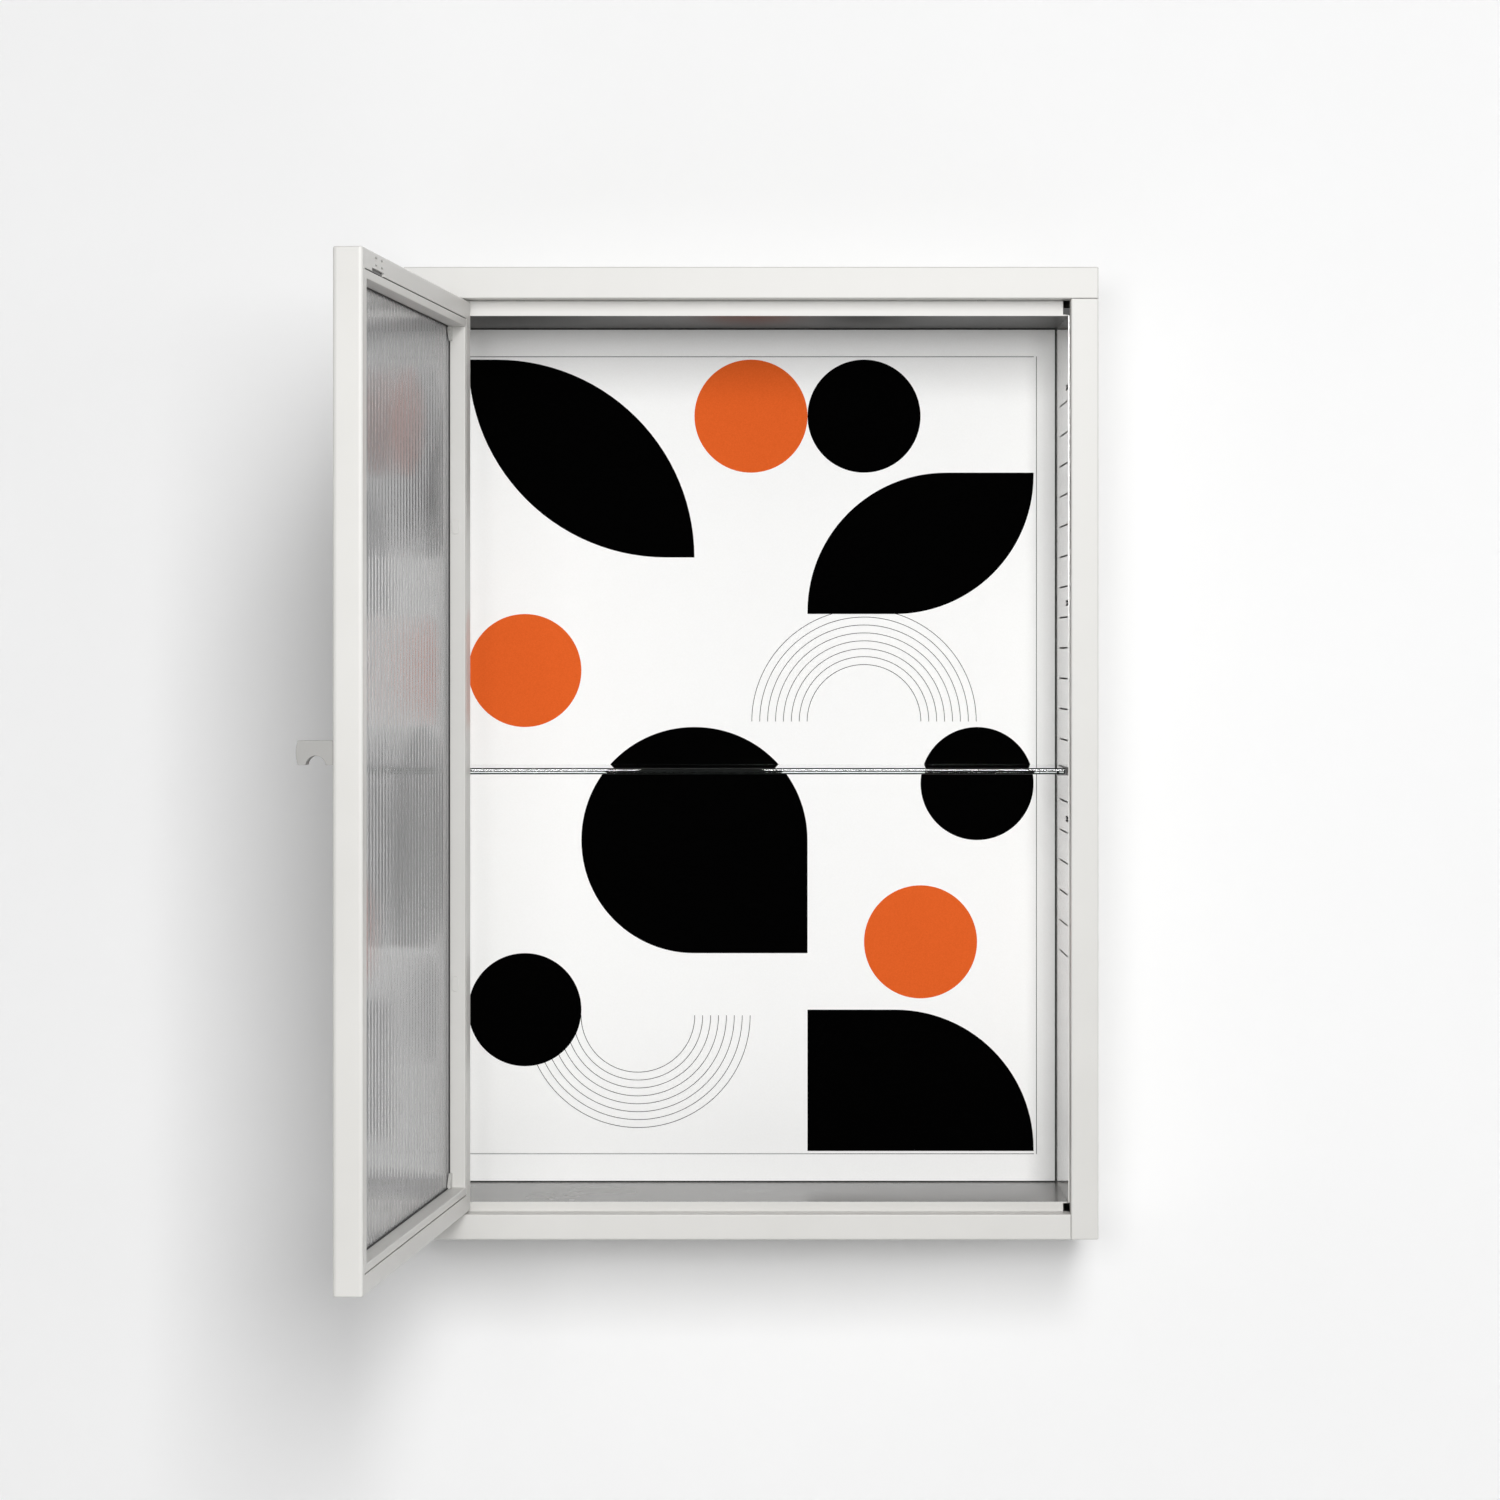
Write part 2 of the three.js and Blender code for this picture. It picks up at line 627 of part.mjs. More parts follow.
// channel-shaped glazing bead, open towards the tray
function beadProfile(tray, place) {
  const near = tray + CLEAR;
  const far = tray + BEAD;
  const low = GLASS_INNER_Y + CLEAR - DOOR_OUTER_Y;
  const high = DOOR_THICK;
  const skin = THIN_SHEET;
  const points = [[near, low], [far, low], [far, high], [near, high], [near, high - skin]];
  points.push([far - skin, high - skin], [far - skin, low + skin], [near, low + skin]);
  return outline(points.map(([u, v]) => place(u, v)));
}

const beadStart = HINGE_EDGE + HINGE_TRAY + CLEAR;
const beadEnd = FREE_EDGE - FREE_TRAY - CLEAR;
const beadLow = DOOR_BOTTOM + RAIL_TRAY + BEAD + CLEAR;
const beadHigh = DOOR_TOP - RAIL_TRAY - BEAD - CLEAR;
const topBead = sweepX(beadProfile(RAIL_TRAY, fromTopEdge), beadStart, beadEnd);
const bottomBead = sweepX(beadProfile(RAIL_TRAY, fromBottomEdge), beadStart, beadEnd);
const hingeBead = sweepZ(beadProfile(HINGE_TRAY, fromHingeEdge), beadLow, beadHigh);
const freeBead = sweepZ(beadProfile(FREE_TRAY, fromFreeEdge), beadLow, beadHigh);
add(door, "glazing_bead_top", topBead, "painted_steel");
add(door, "glazing_bead_bottom", bottomBead, "painted_steel");
add(door, "glazing_bead_free", freeBead, "painted_steel");

// plugs at a quarter and three quarters of the hinge bead's height
const PLUG_TALL = 12;
const PLUG_WIDE = 5.5;
const PLUG_FROM_GLASS = 5;
const PLUG_DEEP = 3;
const PLUG_PROUD = 0.5;
const plugInnerX = HINGE_EDGE + HINGE_TRAY + BEAD;
const plugY = GLASS_INNER_Y + PLUG_FROM_GLASS;

function obround(halfTall, halfWide, z) {
  const shape = new THREE.Shape();
  const straight = halfTall - halfWide;
  shape.absarc(plugY, z + straight, halfWide, 0, Math.PI, false);
  shape.absarc(plugY, z - straight, halfWide, Math.PI, 2 * Math.PI, false);
  shape.closePath();
  return shape;
}

const plugHeights = { lower: DOOR_BOTTOM / 2, upper: DOOR_TOP / 2 };
const plugHoles = Object.values(plugHeights).map((z) => {
  const hole = obround(PLUG_TALL / 2 + CLEAR, PLUG_WIDE / 2 + CLEAR, z);
  return sweepX(hole, plugInnerX - 2 * THIN_SHEET, plugInnerX + THIN_SHEET);
});
add(door, "glazing_bead_hinge", cut(hingeBead, ...plugHoles), "painted_steel");
for (const [place, z] of Object.entries(plugHeights)) {
  const shape = obround(PLUG_TALL / 2, PLUG_WIDE / 2, z);
  const plug = sweepX(shape, plugInnerX - PLUG_DEEP, plugInnerX + PLUG_PROUD);
  add(door, `stile_plug_${place}`, plug, "plastic");
}

// soft seal between the tray's front lip and the glass
const SEAL_SETBACK = 1.5; // behind the lip's edge
const sealWidth = BEAD - SEAL_SETBACK;
const sealOuter = rectangle(glassLeft, glassLow, glassRight, glassHigh);
sealOuter.holes.push(rectangle(
  glassLeft + sealWidth,
  glassLow + sealWidth,
  glassRight - sealWidth,
  glassHigh - sealWidth,
));
const sealStart = DOOR_OUTER_Y + LIP_THICK + CLEAR;
add(door, "glazing_seal", sweepY(sealOuter, sealStart, sealStart + SEAL_THICK), "rubber");

// clips that hold the glass's four corners down inside the bead frame
const CLIP_SIZE = 11;
const CLIP_THICK = 2.4;
const CLIP_TIP = 3; // what is left at the end of each arm
const clipFloor = GLASS_INNER_Y + CLEAR;
const clipCorners = {
  hinge_bottom: [plugInnerX + CLEAR, beadLow, 1, 1],
  hinge_top: [plugInnerX + CLEAR, beadHigh, 1, -1],
  free_bottom: [FREE_EDGE - FREE_TRAY - BEAD - CLEAR, beadLow, -1, 1],
  free_top: [FREE_EDGE - FREE_TRAY - BEAD - CLEAR, beadHigh, -1, -1],
};
for (const [place, [x, z, toX, toZ]] of Object.entries(clipCorners)) {
  const corner = outline([
    [x, z],
    [x + toX * CLIP_SIZE, z],
    [x + toX * CLIP_SIZE, z + toZ * CLIP_TIP],
    [x + toX * CLIP_TIP, z + toZ * CLIP_SIZE],
    [x, z + toZ * CLIP_SIZE],
  ]);
  const clip = sweepY(corner, clipFloor, clipFloor + CLIP_THICK);
  add(door, `glass_clip_${place}`, clip, "plastic");
}

// ------------------------------------------------------------ pivot and pins

const PIVOT_BLOCK_WIDE = 18; // from the door's hinge edge

function pivotBlock(lowZ, highZ) {
  const gap = SHEET + CLEAR;
  const body = block(
    [HINGE_EDGE + gap, DOOR_OUTER_Y + gap, lowZ],
    [HINGE_EDGE + PIVOT_BLOCK_WIDE, DOOR_INNER_Y - gap, highZ],
  );
  return cut(body, post(0, 0, pinHole, lowZ - OVERCUT, highZ + OVERCUT));
}

const blockTop = DOOR_TOP - SHEET - CLEAR;
const blockBottom = DOOR_BOTTOM + SHEET + CLEAR;
add(door, "pivot_block_top", pivotBlock(blockTop - PIN_IN_DOOR, blockTop), "plastic");
add(door, "pivot_block_bottom", pivotBlock(blockBottom, blockBottom + PIN_IN_DOOR), "plastic");
const topPin = post(0, 0, PIN_RADIUS, DOOR_TOP - PIN_IN_DOOR, DOOR_TOP + PIN_OUT);
const bottomPin = post(0, 0, PIN_RADIUS, DOOR_BOTTOM - PIN_OUT, DOOR_BOTTOM + PIN_IN_DOOR);
add(door, "hinge_pin_top", topPin, "dark_steel");
add(door, "hinge_pin_bottom", bottomPin, "dark_steel");

// -------------------------------------------------------------------- handle

// block handle with a rounded outer end and an arched finger notch underneath
function handleProfile() {
  const r = HANDLE_END_RADIUS;
  const root = DOOR_OUTER_Y - CLEAR;
  const tip = root - HANDLE_REACH;
  const low = HANDLE_Z - HANDLE_TALL / 2;
  const high = HANDLE_Z + HANDLE_TALL / 2;
  const notchStart = root - FINGER_FROM_DOOR;
  const notchRadius = FINGER_WIDTH ** 2 / (8 * FINGER_DEPTH) + FINGER_DEPTH / 2;
  const notchY = notchStart - FINGER_WIDTH / 2;
  const notchZ = low + FINGER_DEPTH - notchRadius;
  const half = Math.acos((low - notchZ) / notchRadius);
  const shape = new THREE.Shape();
  shape.moveTo(root, low);
  shape.lineTo(root, high);
  shape.lineTo(tip + r, high);
  shape.absarc(tip + r, high - r, r, Math.PI / 2, Math.PI, false);
  shape.absarc(tip + r, low + r, r, Math.PI, Math.PI * 1.5, false);
  shape.absarc(notchY, notchZ, notchRadius, Math.PI / 2 + half, Math.PI / 2 - half, true);
  shape.closePath();
  return shape;
}

const handleEnd = FREE_EDGE - HANDLE_INSET;
const handleStart = handleEnd - HANDLE_WIDE;
const screwX = (handleStart + handleEnd) / 2;
const screwZ = HANDLE_Z + SCREW_RISE;
const skinInside = DOOR_OUTER_Y + LIP_THICK;
const screwTip = skinInside + CLEAR - SCREW_LENGTH;
const screwHole = dowel(screwX, screwZ, SCREW_RADIUS + CLEAR, screwTip - OVERCUT, skinInside + OVERCUT);
const handle = cut(sweepX(handleProfile(), handleStart, handleEnd), screwHole);
add(door, "door_handle", handle, "painted_steel");
const freeStile = cut(uprightMember(FREE_TRAY, fromFreeEdge), screwHole);
add(door, "door_free_stile", freeStile, "painted_steel");
const shank = dowel(screwX, screwZ, SCREW_RADIUS, screwTip, skinInside + CLEAR);
const screwHead = dowel(
  screwX,
  screwZ,
  SCREW_HEAD_RADIUS,
  skinInside + CLEAR,
  skinInside + CLEAR + SCREW_HEAD_TALL,
);
add(door, "handle_screw", join(shank, screwHead), "dark_steel");

export default showcase;
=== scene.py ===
"""Looks of a wall mounted showcase: painted steel, reeded and clear glass, a printed sheet."""

import json
import math

import bmesh
import bpy
from mathutils import Matrix, Vector


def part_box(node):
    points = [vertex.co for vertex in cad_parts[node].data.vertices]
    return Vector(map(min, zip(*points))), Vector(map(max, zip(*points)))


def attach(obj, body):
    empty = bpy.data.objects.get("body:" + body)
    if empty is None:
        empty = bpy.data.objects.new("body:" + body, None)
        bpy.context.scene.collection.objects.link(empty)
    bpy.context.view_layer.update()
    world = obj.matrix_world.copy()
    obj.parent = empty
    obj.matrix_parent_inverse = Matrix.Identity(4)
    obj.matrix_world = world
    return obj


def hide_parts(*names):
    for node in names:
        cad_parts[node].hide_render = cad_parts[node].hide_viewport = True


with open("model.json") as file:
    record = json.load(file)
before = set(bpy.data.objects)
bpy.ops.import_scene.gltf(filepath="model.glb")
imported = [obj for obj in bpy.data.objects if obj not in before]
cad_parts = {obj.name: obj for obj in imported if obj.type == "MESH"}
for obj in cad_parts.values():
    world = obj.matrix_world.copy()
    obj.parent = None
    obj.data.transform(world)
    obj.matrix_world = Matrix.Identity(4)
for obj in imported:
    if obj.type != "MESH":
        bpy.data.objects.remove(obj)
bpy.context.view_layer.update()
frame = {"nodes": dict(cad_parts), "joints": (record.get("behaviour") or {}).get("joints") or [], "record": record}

# ------------------------------------------------------------------ dimensions, in metres

SHEET = 0.0015  # outer steel
FOLD_RADIUS = 0.0012
RIM_RADIUS = 0.0002
RETURN_DEPTH = 0.015  # inner return of a side panel
SOFFIT_DEPTH = 0.0222  # short return above and below the opening
REAR_FLANGE = 0.020
KEYHOLE_RADIUS = 0.0045
KEYHOLE_DROP = 0.01175  # from the top edge
KEYHOLE_ASIDE = 0.19  # from the middle
KEYHOLE_SLOT = (0.0046, 0.008)  # width and rise
ARRIS = 0.0011  # ground chamfer round the shelf

DOOR_WIDTH = 0.500
DOOR_THICK = 0.0207
PIVOT_INSET = 0.0115  # from the door's hinge edge
PIVOT_DEPTH = 0.005  # behind the door's outer face
RAIL_TRAY = 0.014  # width of the tray's inner skin along a rail
HINGE_TRAY = 0.021
FREE_TRAY = 0.010
BEAD = 0.007  # width of the glazing frame
BEAD_ROUND = 0.0007
BEAD_GAP = 0.0002  # to the pane
SEAM = 0.0009  # between tray and glazing frame
TRAY_RETURN = 0.011
DOOR_CORNER = 0.0055  # at the hinge side, top and bottom
DOOR_SIDE = 0.003  # along the door's sides
DOOR_EDGE = 0.0012  # along its rails
LIP = 0.0015

CATCH_NEAR = 0.039  # from the door's free edge to the magnet's near end
CATCH_LONG = 0.050
CATCH_DEEP = 0.013
CATCH_BELOW, CATCH_ABOVE = 0.001, 0.0025  # either side of the seam
SLIT = 0.009  # across
SLIT_RISE = 0.0018
SLIT_BACK = (0.017, 0.041)  # from the magnet's near end
SLIT_DROP = (0.004, 0.009)  # from the door's top edge
CUT_THROUGH = 0.003  # either side of the skin

SEAL_THICK = 0.0016
SEAL_GAP = 0.0006
GLASS_THICK = 0.004
GLASS_GAP = 0.001
GLASS_FREE_GAP = 0.0025
FLUTE_PITCH = 0.0136
FLUTE_RISE = 0.0009
FLUTE_CUTS = 11
GASKET_WIDTH = 0.0011
GASKET_GAP = 0.0001
GASKET_DEEP = 0.0008
PLUG_RADIUS = 0.00275
PLUG_STRETCH = 0.00325  # of each half, up or down
PLUG_PROUD = 0.0014
PLUG_FROM_GLASS = 0.005
PLUG_ROUND = 0.0004

hinge = frame["joints"][0]
PIVOT = Vector(hinge["pos_m"])
OPEN_ANGLE = math.radians(-hinge["range_deg"][0])
DOOR_TURN = (
    Matrix.Translation(PIVOT)
    @ Matrix.Rotation(-OPEN_ANGLE, 4, "Z")
    @ Matrix.Translation(-PIVOT)
)

# the closed door's box
stile_low, stile_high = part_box("door_hinge_stile")
HINGE_EDGE = PIVOT.x - PIVOT_INSET
FREE_EDGE = HINGE_EDGE + DOOR_WIDTH
DOOR_FRONT = PIVOT.y - PIVOT_DEPTH
DOOR_BACK = DOOR_FRONT + DOOR_THICK
DOOR_LOW = stile_low.z
DOOR_HIGH = stile_high.z
GLASS_FRONT = DOOR_FRONT + LIP + SEAL_THICK + SEAL_GAP
GLASS_BACK = GLASS_FRONT + GLASS_THICK

# ------------------------------------------------------------------ modelling helpers


def deselect_all():
    if bpy.context.object and bpy.context.object.mode != "OBJECT":
        bpy.ops.object.mode_set(mode="OBJECT")
    bpy.ops.object.select_all(action="DESELECT")


def start_box(name, low, high):
    """A new box between two corners, with its place in its mesh."""
    deselect_all()
    low, high = Vector(low), Vector(high)
    bpy.ops.mesh.primitive_cube_add(size=1, location=(low + high) / 2, scale=high - low)
    return settle(name)


def settle(name):
    """Names the active object and puts its place into its mesh."""
    piece = bpy.context.object
    piece.name = name
    piece.data.name = name
    bpy.ops.object.transform_apply(location=True, rotation=True, scale=True)
    return piece


def edit(piece):
    deselect_all()
    piece.select_set(True)
    bpy.context.view_layer.objects.active = piece
    bpy.ops.object.mode_set(mode="EDIT")


def leave():
    bpy.ops.object.mode_set(mode="OBJECT")


def choose(piece, kind, test):
    """In edit mode, selects only the vertices, edges or faces that pass a test."""
    bpy.ops.mesh.select_mode(type={"verts": "VERT", "edges": "EDGE", "faces": "FACE"}[kind])
    bpy.ops.mesh.select_all(action="DESELECT")
    mesh = bmesh.from_edit_mesh(piece.data)
    for item in getattr(mesh, kind):
        if test(item):
            item.select_set(True)
    mesh.select_flush_mode()
    bmesh.update_edit_mesh(piece.data)


def move(offset):
    bpy.ops.transform.translate(value=offset)


def extrude_edges(offset):
    bpy.ops.mesh.extrude_region_move(TRANSFORM_OT_translate={"value": offset})


def near(value, target, slack=1e-5):
    return abs(value - target) < slack


def edge_at(**place):
    """A test for edges with both ends at the given x, y or z."""

    def test(edge):
        return all(
            near(getattr(vertex.co, axis), value)
            for vertex in edge.verts
            for axis, value in place.items()
        )

    return test


def facing(**direction):
    """A test for faces that face along the given axis, such as z=1."""
    axis, sign = next(iter(direction.items()))

    def test(face):
        return getattr(face.normal, axis) * sign > 0.9

    return test


def modify(piece, kind, **settings):
    modifier = piece.modifiers.new(kind.lower(), kind)
    for key, value in settings.items():
        setattr(modifier, key, value)
    deselect_all()
    piece.select_set(True)
    bpy.context.view_layer.objects.active = piece
    bpy.ops.object.modifier_apply(modifier=modifier.name)


def round_edges(piece, width, segments=2, angle=35):
    """Bevels every edge that is sharper than the angle."""
    modify(
        piece,
        "BEVEL",
        width=width,
        segments=segments,
        limit_method="ANGLE",
        angle_limit=math.radians(angle),
    )


def thicken(piece, wall):
    modify(piece, "SOLIDIFY", thickness=wall, offset=-1, use_even_offset=True)


def smooth(piece, angle=40):
    """Smooth shading that leaves the broad flat faces flat."""
    deselect_all()
    piece.select_set(True)
    bpy.context.view_layer.objects.active = piece
    bpy.ops.object.shade_smooth_by_angle(angle=math.radians(angle))
    modify(piece, "WEIGHTED_NORMAL", keep_sharp=True, weight=100)


def recalculate(piece):
    edit(piece)
    bpy.ops.mesh.select_all(action="SELECT")
    bpy.ops.mesh.remove_doubles(threshold=1e-6)
    bpy.ops.mesh.normals_make_consistent(inside=False)
    leave()


def cut_away(piece, cutter):
    modify(piece, "BOOLEAN", operation="DIFFERENCE", object=cutter, solver="EXACT")
    bpy.data.objects.remove(cutter)


def turn_with_door(piece):
    """Swings a piece modelled on the closed door to where the open door holds it."""
    deselect_all()
    piece.select_set(True)
    bpy.context.view_layer.objects.active = piece
    piece.matrix_world = DOOR_TURN
    bpy.ops.object.transform_apply(location=True, rotation=True, scale=True)


def place(piece, body, material, slot, *nodes):
    """Gives a piece its material and its body and hides the nodes it stands for. The slot is not used."""
    piece.data.materials.clear()
    piece.data.materials.append(material)
    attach(piece, body)
    if nodes:
        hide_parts(*nodes)


# ------------------------------------------------------------------ materials


def new_material(name):
    material = bpy.data.materials.new(name)
    material.use_nodes = True
    tree = material.node_tree
    shader = tree.nodes["Principled BSDF"]
    return material, tree, shader


def noise(tree, scale, detail=4.0, roughness=0.5):
    coordinates = tree.nodes.new("ShaderNodeTexCoord")
    texture = tree.nodes.new("ShaderNodeTexNoise")
    texture.inputs["Scale"].default_value = scale
    texture.inputs["Detail"].default_value = detail
    texture.inputs["Roughness"].default_value = roughness
    tree.links.new(coordinates.outputs["Object"], texture.inputs["Vector"])
    return texture


def blend_colours(tree, factor, low, high):
    ramp = tree.nodes.new("ShaderNodeValToRGB")
    ramp.color_ramp.elements[0].color = (*low, 1)
    ramp.color_ramp.elements[0].position = 0.3
    ramp.color_ramp.elements[1].color = (*high, 1)
    ramp.color_ramp.elements[1].position = 0.7
    tree.links.new(factor, ramp.inputs["Fac"])
    return ramp


def spread(tree, factor, low, high):
    """Maps a texture's 0 to 1 onto a range."""
    node = tree.nodes.new("ShaderNodeMapRange")
    node.inputs["To Min"].default_value = low
    node.inputs["To Max"].default_value = high
    tree.links.new(factor, node.inputs["Value"])
    return node


def bumped(tree, shader, height, strength, distance):
    bump = tree.nodes.new("ShaderNodeBump")
    bump.inputs["Strength"].default_value = strength
    bump.inputs["Distance"].default_value = distance
    tree.links.new(height, bump.inputs["Height"])
    tree.links.new(bump.outputs["Normal"], shader.inputs["Normal"])


def powder_coat(name, tone, rough, shine=0.45, lacquer=0.0):
    """Warm pale grey paint with a fine orange peel, by its lightness and its roughness."""
    material, tree, shader = new_material(name)
    broad = noise(tree, 9, 3)
    dull = (0.955 * tone, 0.943 * tone, 0.907 * tone)
    fresh = (1.005 * tone, 0.994 * tone, 0.959 * tone)
    tint = blend_colours(tree, broad.outputs["Fac"], dull, fresh)
    tree.links.new(tint.outputs["Color"], shader.inputs["Base Color"])
    gloss = spread(tree, broad.outputs["Fac"], rough - 0.04, rough + 0.04)
    tree.links.new(gloss.outputs["Result"], shader.inputs["Roughness"])
    grain = noise(tree, 1400, 2)
    bumped(tree, shader, grain.outputs["Fac"], 0.12, 0.0002)
    shader.inputs["Specular IOR Level"].default_value = shine
    shader.inputs["Coat Weight"].default_value = lacquer
    shader.inputs["Coat Roughness"].default_value = 0.08
    return material


def clear_glass():
    material, tree, shader = new_material("float_glass")
    film = noise(tree, 14, 3)
    haze = spread(tree, film.outputs["Fac"], 0.0, 0.012)
    tree.links.new(haze.outputs["Result"], shader.inputs["Roughness"])
    shader.inputs["Base Color"].default_value = (0.90, 0.96, 0.94, 1)
    shader.inputs["Transmission Weight"].default_value = 1.0
    shader.inputs["IOR"].default_value = 1.5
    return material


def fluted_glass():
    material, tree, shader = new_material("reeded_glass")
    film = noise(tree, 22, 3)
    haze = spread(tree, film.outputs["Fac"], 0.03, 0.09)
    tree.links.new(haze.outputs["Result"], shader.inputs["Roughness"])
    shader.inputs["Base Color"].default_value = (0.64, 0.64, 0.645, 1)
    shader.inputs["Transmission Weight"].default_value = 0.55
    shader.inputs["IOR"].default_value = 1.5
    return material


def paper():
    material, tree, shader = new_material("uncoated_paper")
    fibres = noise(tree, 900, 5, 0.65)
    tint = blend_colours(tree, fibres.outputs["Fac"], (0.95, 0.95, 0.94), (0.985, 0.985, 0.98))
    tree.links.new(tint.outputs["Color"], shader.inputs["Base Color"])
    shader.inputs["Roughness"].default_value = 0.85
    bumped(tree, shader, fibres.outputs["Fac"], 0.15, 0.00012)
    return material


def ink(name, low, high):
    material, tree, shader = new_material(name)
    fibres = noise(tree, 900, 5, 0.65)
    tint = blend_colours(tree, fibres.outputs["Fac"], low, high)
    tree.links.new(tint.outputs["Color"], shader.inputs["Base Color"])
    gloss = spread(tree, fibres.outputs["Fac"], 0.62, 0.8)
    tree.links.new(gloss.outputs["Result"], shader.inputs["Roughness"])
    shader.inputs["Specular IOR Level"].default_value = 0.0
    return material


def rigid_board():
    material, tree, shader = new_material("display_board")
    fibres = noise(tree, 420, 4)
    tint = blend_colours(tree, fibres.outputs["Fac"], (0.03, 0.03, 0.028), (0.06, 0.059, 0.055))
    tree.links.new(tint.outputs["Color"], shader.inputs["Base Color"])
    shader.inputs["Roughness"].default_value = 0.9
    return material


def moulded(name, low, high, rough, shine=0.5):
    material, tree, shader = new_material(name)
    mottle = noise(tree, 260, 3)
    tint = blend_colours(tree, mottle.outputs["Fac"], low, high)
    tree.links.new(tint.outputs["Color"], shader.inputs["Base Color"])
    gloss = spread(tree, mottle.outputs["Fac"], rough - 0.06, rough + 0.06)
    tree.links.new(gloss.outputs["Result"], shader.inputs["Roughness"])
    bumped(tree, shader, mottle.outputs["Fac"], 0.1, 0.0001)
    shader.inputs["Specular IOR Level"].default_value = shine
    return material


def dark_steel():
    material, tree, shader = new_material("blackened_steel")
    streaks = noise(tree, 700, 4)
    tint = blend_colours(tree, streaks.outputs["Fac"], (0.05, 0.05, 0.05), (0.12, 0.12, 0.12))
    tree.links.new(tint.outputs["Color"], shader.inputs["Base Color"])
    gloss = spread(tree, streaks.outputs["Fac"], 0.28, 0.45)
    tree.links.new(gloss.outputs["Result"], shader.inputs["Roughness"])
    shader.inputs["Metallic"].default_value = 1.0
    return material


PAINT = powder_coat("powder_coat", 0.685, 0.38)
# The liners' paint is a much lighter copy of the shell's paint: painted light.
LINER_PAINTED_LIGHT = powder_coat("liner_painted_light", 0.93, 0.16, lacquer=1.0)
# The ceiling's inside face is painted near black: painted shade.
CEILING_PAINTED_SHADE = powder_coat("ceiling_painted_shade", 0.045, 0.4, shine=0.12)
# The floor's inside face is painted a darker grey: painted shade.
FLOOR_PAINTED_SHADE = powder_coat("floor_painted_shade", 0.22, 0.26)
# The handle's paint is a darker copy of the shell's paint: painted shade.
HANDLE_PAINTED_SHADE = powder_coat("handle_painted_shade", 0.37, 0.42)
CLEAR = clear_glass()
REEDED = fluted_glass()
PAPER = paper()
BLACK_INK = ink("black_ink", (0.0004, 0.0004, 0.0004), (0.0012, 0.0012, 0.0012))
ORANGE_INK = ink("orange_ink", (0.72, 0.108, 0.018), (0.80, 0.135, 0.026))
BOARD = rigid_board()
NYLON = moulded("pale_nylon", (0.55, 0.545, 0.52), (0.62, 0.615, 0.59), 0.45)
# A near-black material for the shelf's bevels: painted shade in place of the darkness refraction gives glass
# edges.
SHELF_EDGE_PAINTED_SHADE = moulded(
    "shelf_edge_painted_shade", (0.004, 0.005, 0.0045), (0.009, 0.011, 0.01), 0.35, shine=0.03
)
RUBBER = moulded("seal_rubber", (0.02, 0.02, 0.02), (0.035, 0.035, 0.035), 0.7)
STEEL = dark_steel()

# The liners take the lighter copy of the paint, which is painted light.
PAINTED_LIGHT_NODES = {
    "left_liner": LINER_PAINTED_LIGHT,
    "right_liner": LINER_PAINTED_LIGHT,
}
SLOT_MATERIALS = {
    "painted_steel": PAINT,
    "clear_glass": CLEAR,
    "reeded_glass": REEDED,
    "print": PAPER,
    "board": BOARD,
    "plastic": NYLON,
    "dark_steel": STEEL,
    "seal": RUBBER,
}


def finish_cad_nodes():
    """Gives the liners a lighter copy of the paint as painted light, and every other CAD node the material of its
    slot.
    """
    slots = {part["node"]: part["material_slot"] for part in frame["record"]["subparts"]}
    for name, node in frame["nodes"].items():
        node.data.materials.clear()
        node.data.materials.append(PAINTED_LIGHT_NODES.get(name, SLOT_MATERIALS[slots[name]]))


# ------------------------------------------------------------------ cabinet shell


def finish_sheet(piece):
    """Rounds the folds, gives the sheet its wall and breaks its rims."""
    round_edges(piece, FOLD_RADIUS, 4)
    thicken(piece, SHEET)
    recalculate(piece)
    round_edges(piece, RIM_RADIUS, 2, 60)
    smooth(piece)


def keyhole_cutter(x, z):
    """A round head with a narrow slot above it, through the rear flange."""
    deselect_all()
    bpy.ops.mesh.primitive_cylinder_add(
        radius=KEYHOLE_RADIUS,
        depth=0.01,
        vertices=40,
        location=(x, 0, z),
        rotation=(math.pi / 2, 0, 0),
    )
    cutter = settle("keyhole_cutter")
    wide, rise = KEYHOLE_SLOT
    slot = start_box("keyhole_slot", (x - wide / 2, -0.005, z), (x + wide / 2, 0.005, z + rise))
    modify(cutter, "BOOLEAN", operation="UNION", object=slot, solver="EXACT")
    bpy.data.objects.remove(slot)
    return cutter


def top_panel():
    low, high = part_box("top_panel")
    piece = start_box("top_panel_shell", low, high)
    edit(piece)
    choose(piece, "faces", lambda face: facing(z=-1)(face) or facing(y=1)(face))
    bpy.ops.mesh.delete(type="FACE")
    choose(piece, "edges", edge_at(y=low.y, z=low.z))
    extrude_edges((0, SOFFIT_DEPTH, 0))
    choose(piece, "edges", edge_at(y=high.y, z=high.z))
    extrude_edges((0, 0, -REAR_FLANGE))
    leave()
    finish_sheet(piece)
    for x in (-KEYHOLE_ASIDE, KEYHOLE_ASIDE):
        cut_away(piece, keyhole_cutter(x, high.z - KEYHOLE_DROP))
    place(piece, "cabinet", PAINT, "painted_steel", "top_panel")


def bottom_panel():
    low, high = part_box("bottom_panel")
    low.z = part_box("left_side_panel")[0].z
    piece = start_box("bottom_panel_shell", low, high)
    edit(piece)
    open_sides = (facing(x=1), facing(x=-1), facing(y=1), facing(z=1))
    choose(piece, "faces", lambda face: any(test(face) for test in open_sides))
    bpy.ops.mesh.delete(type="FACE")
    choose(piece, "edges", edge_at(y=low.y, z=high.z))
    extrude_edges((0, SOFFIT_DEPTH, 0))
    choose(piece, "edges", edge_at(y=high.y, z=low.z))
    extrude_edges((0, 0, REAR_FLANGE))
    leave()
    finish_sheet(piece)
    place(piece, "cabinet", PAINT, "painted_steel", "bottom_panel")


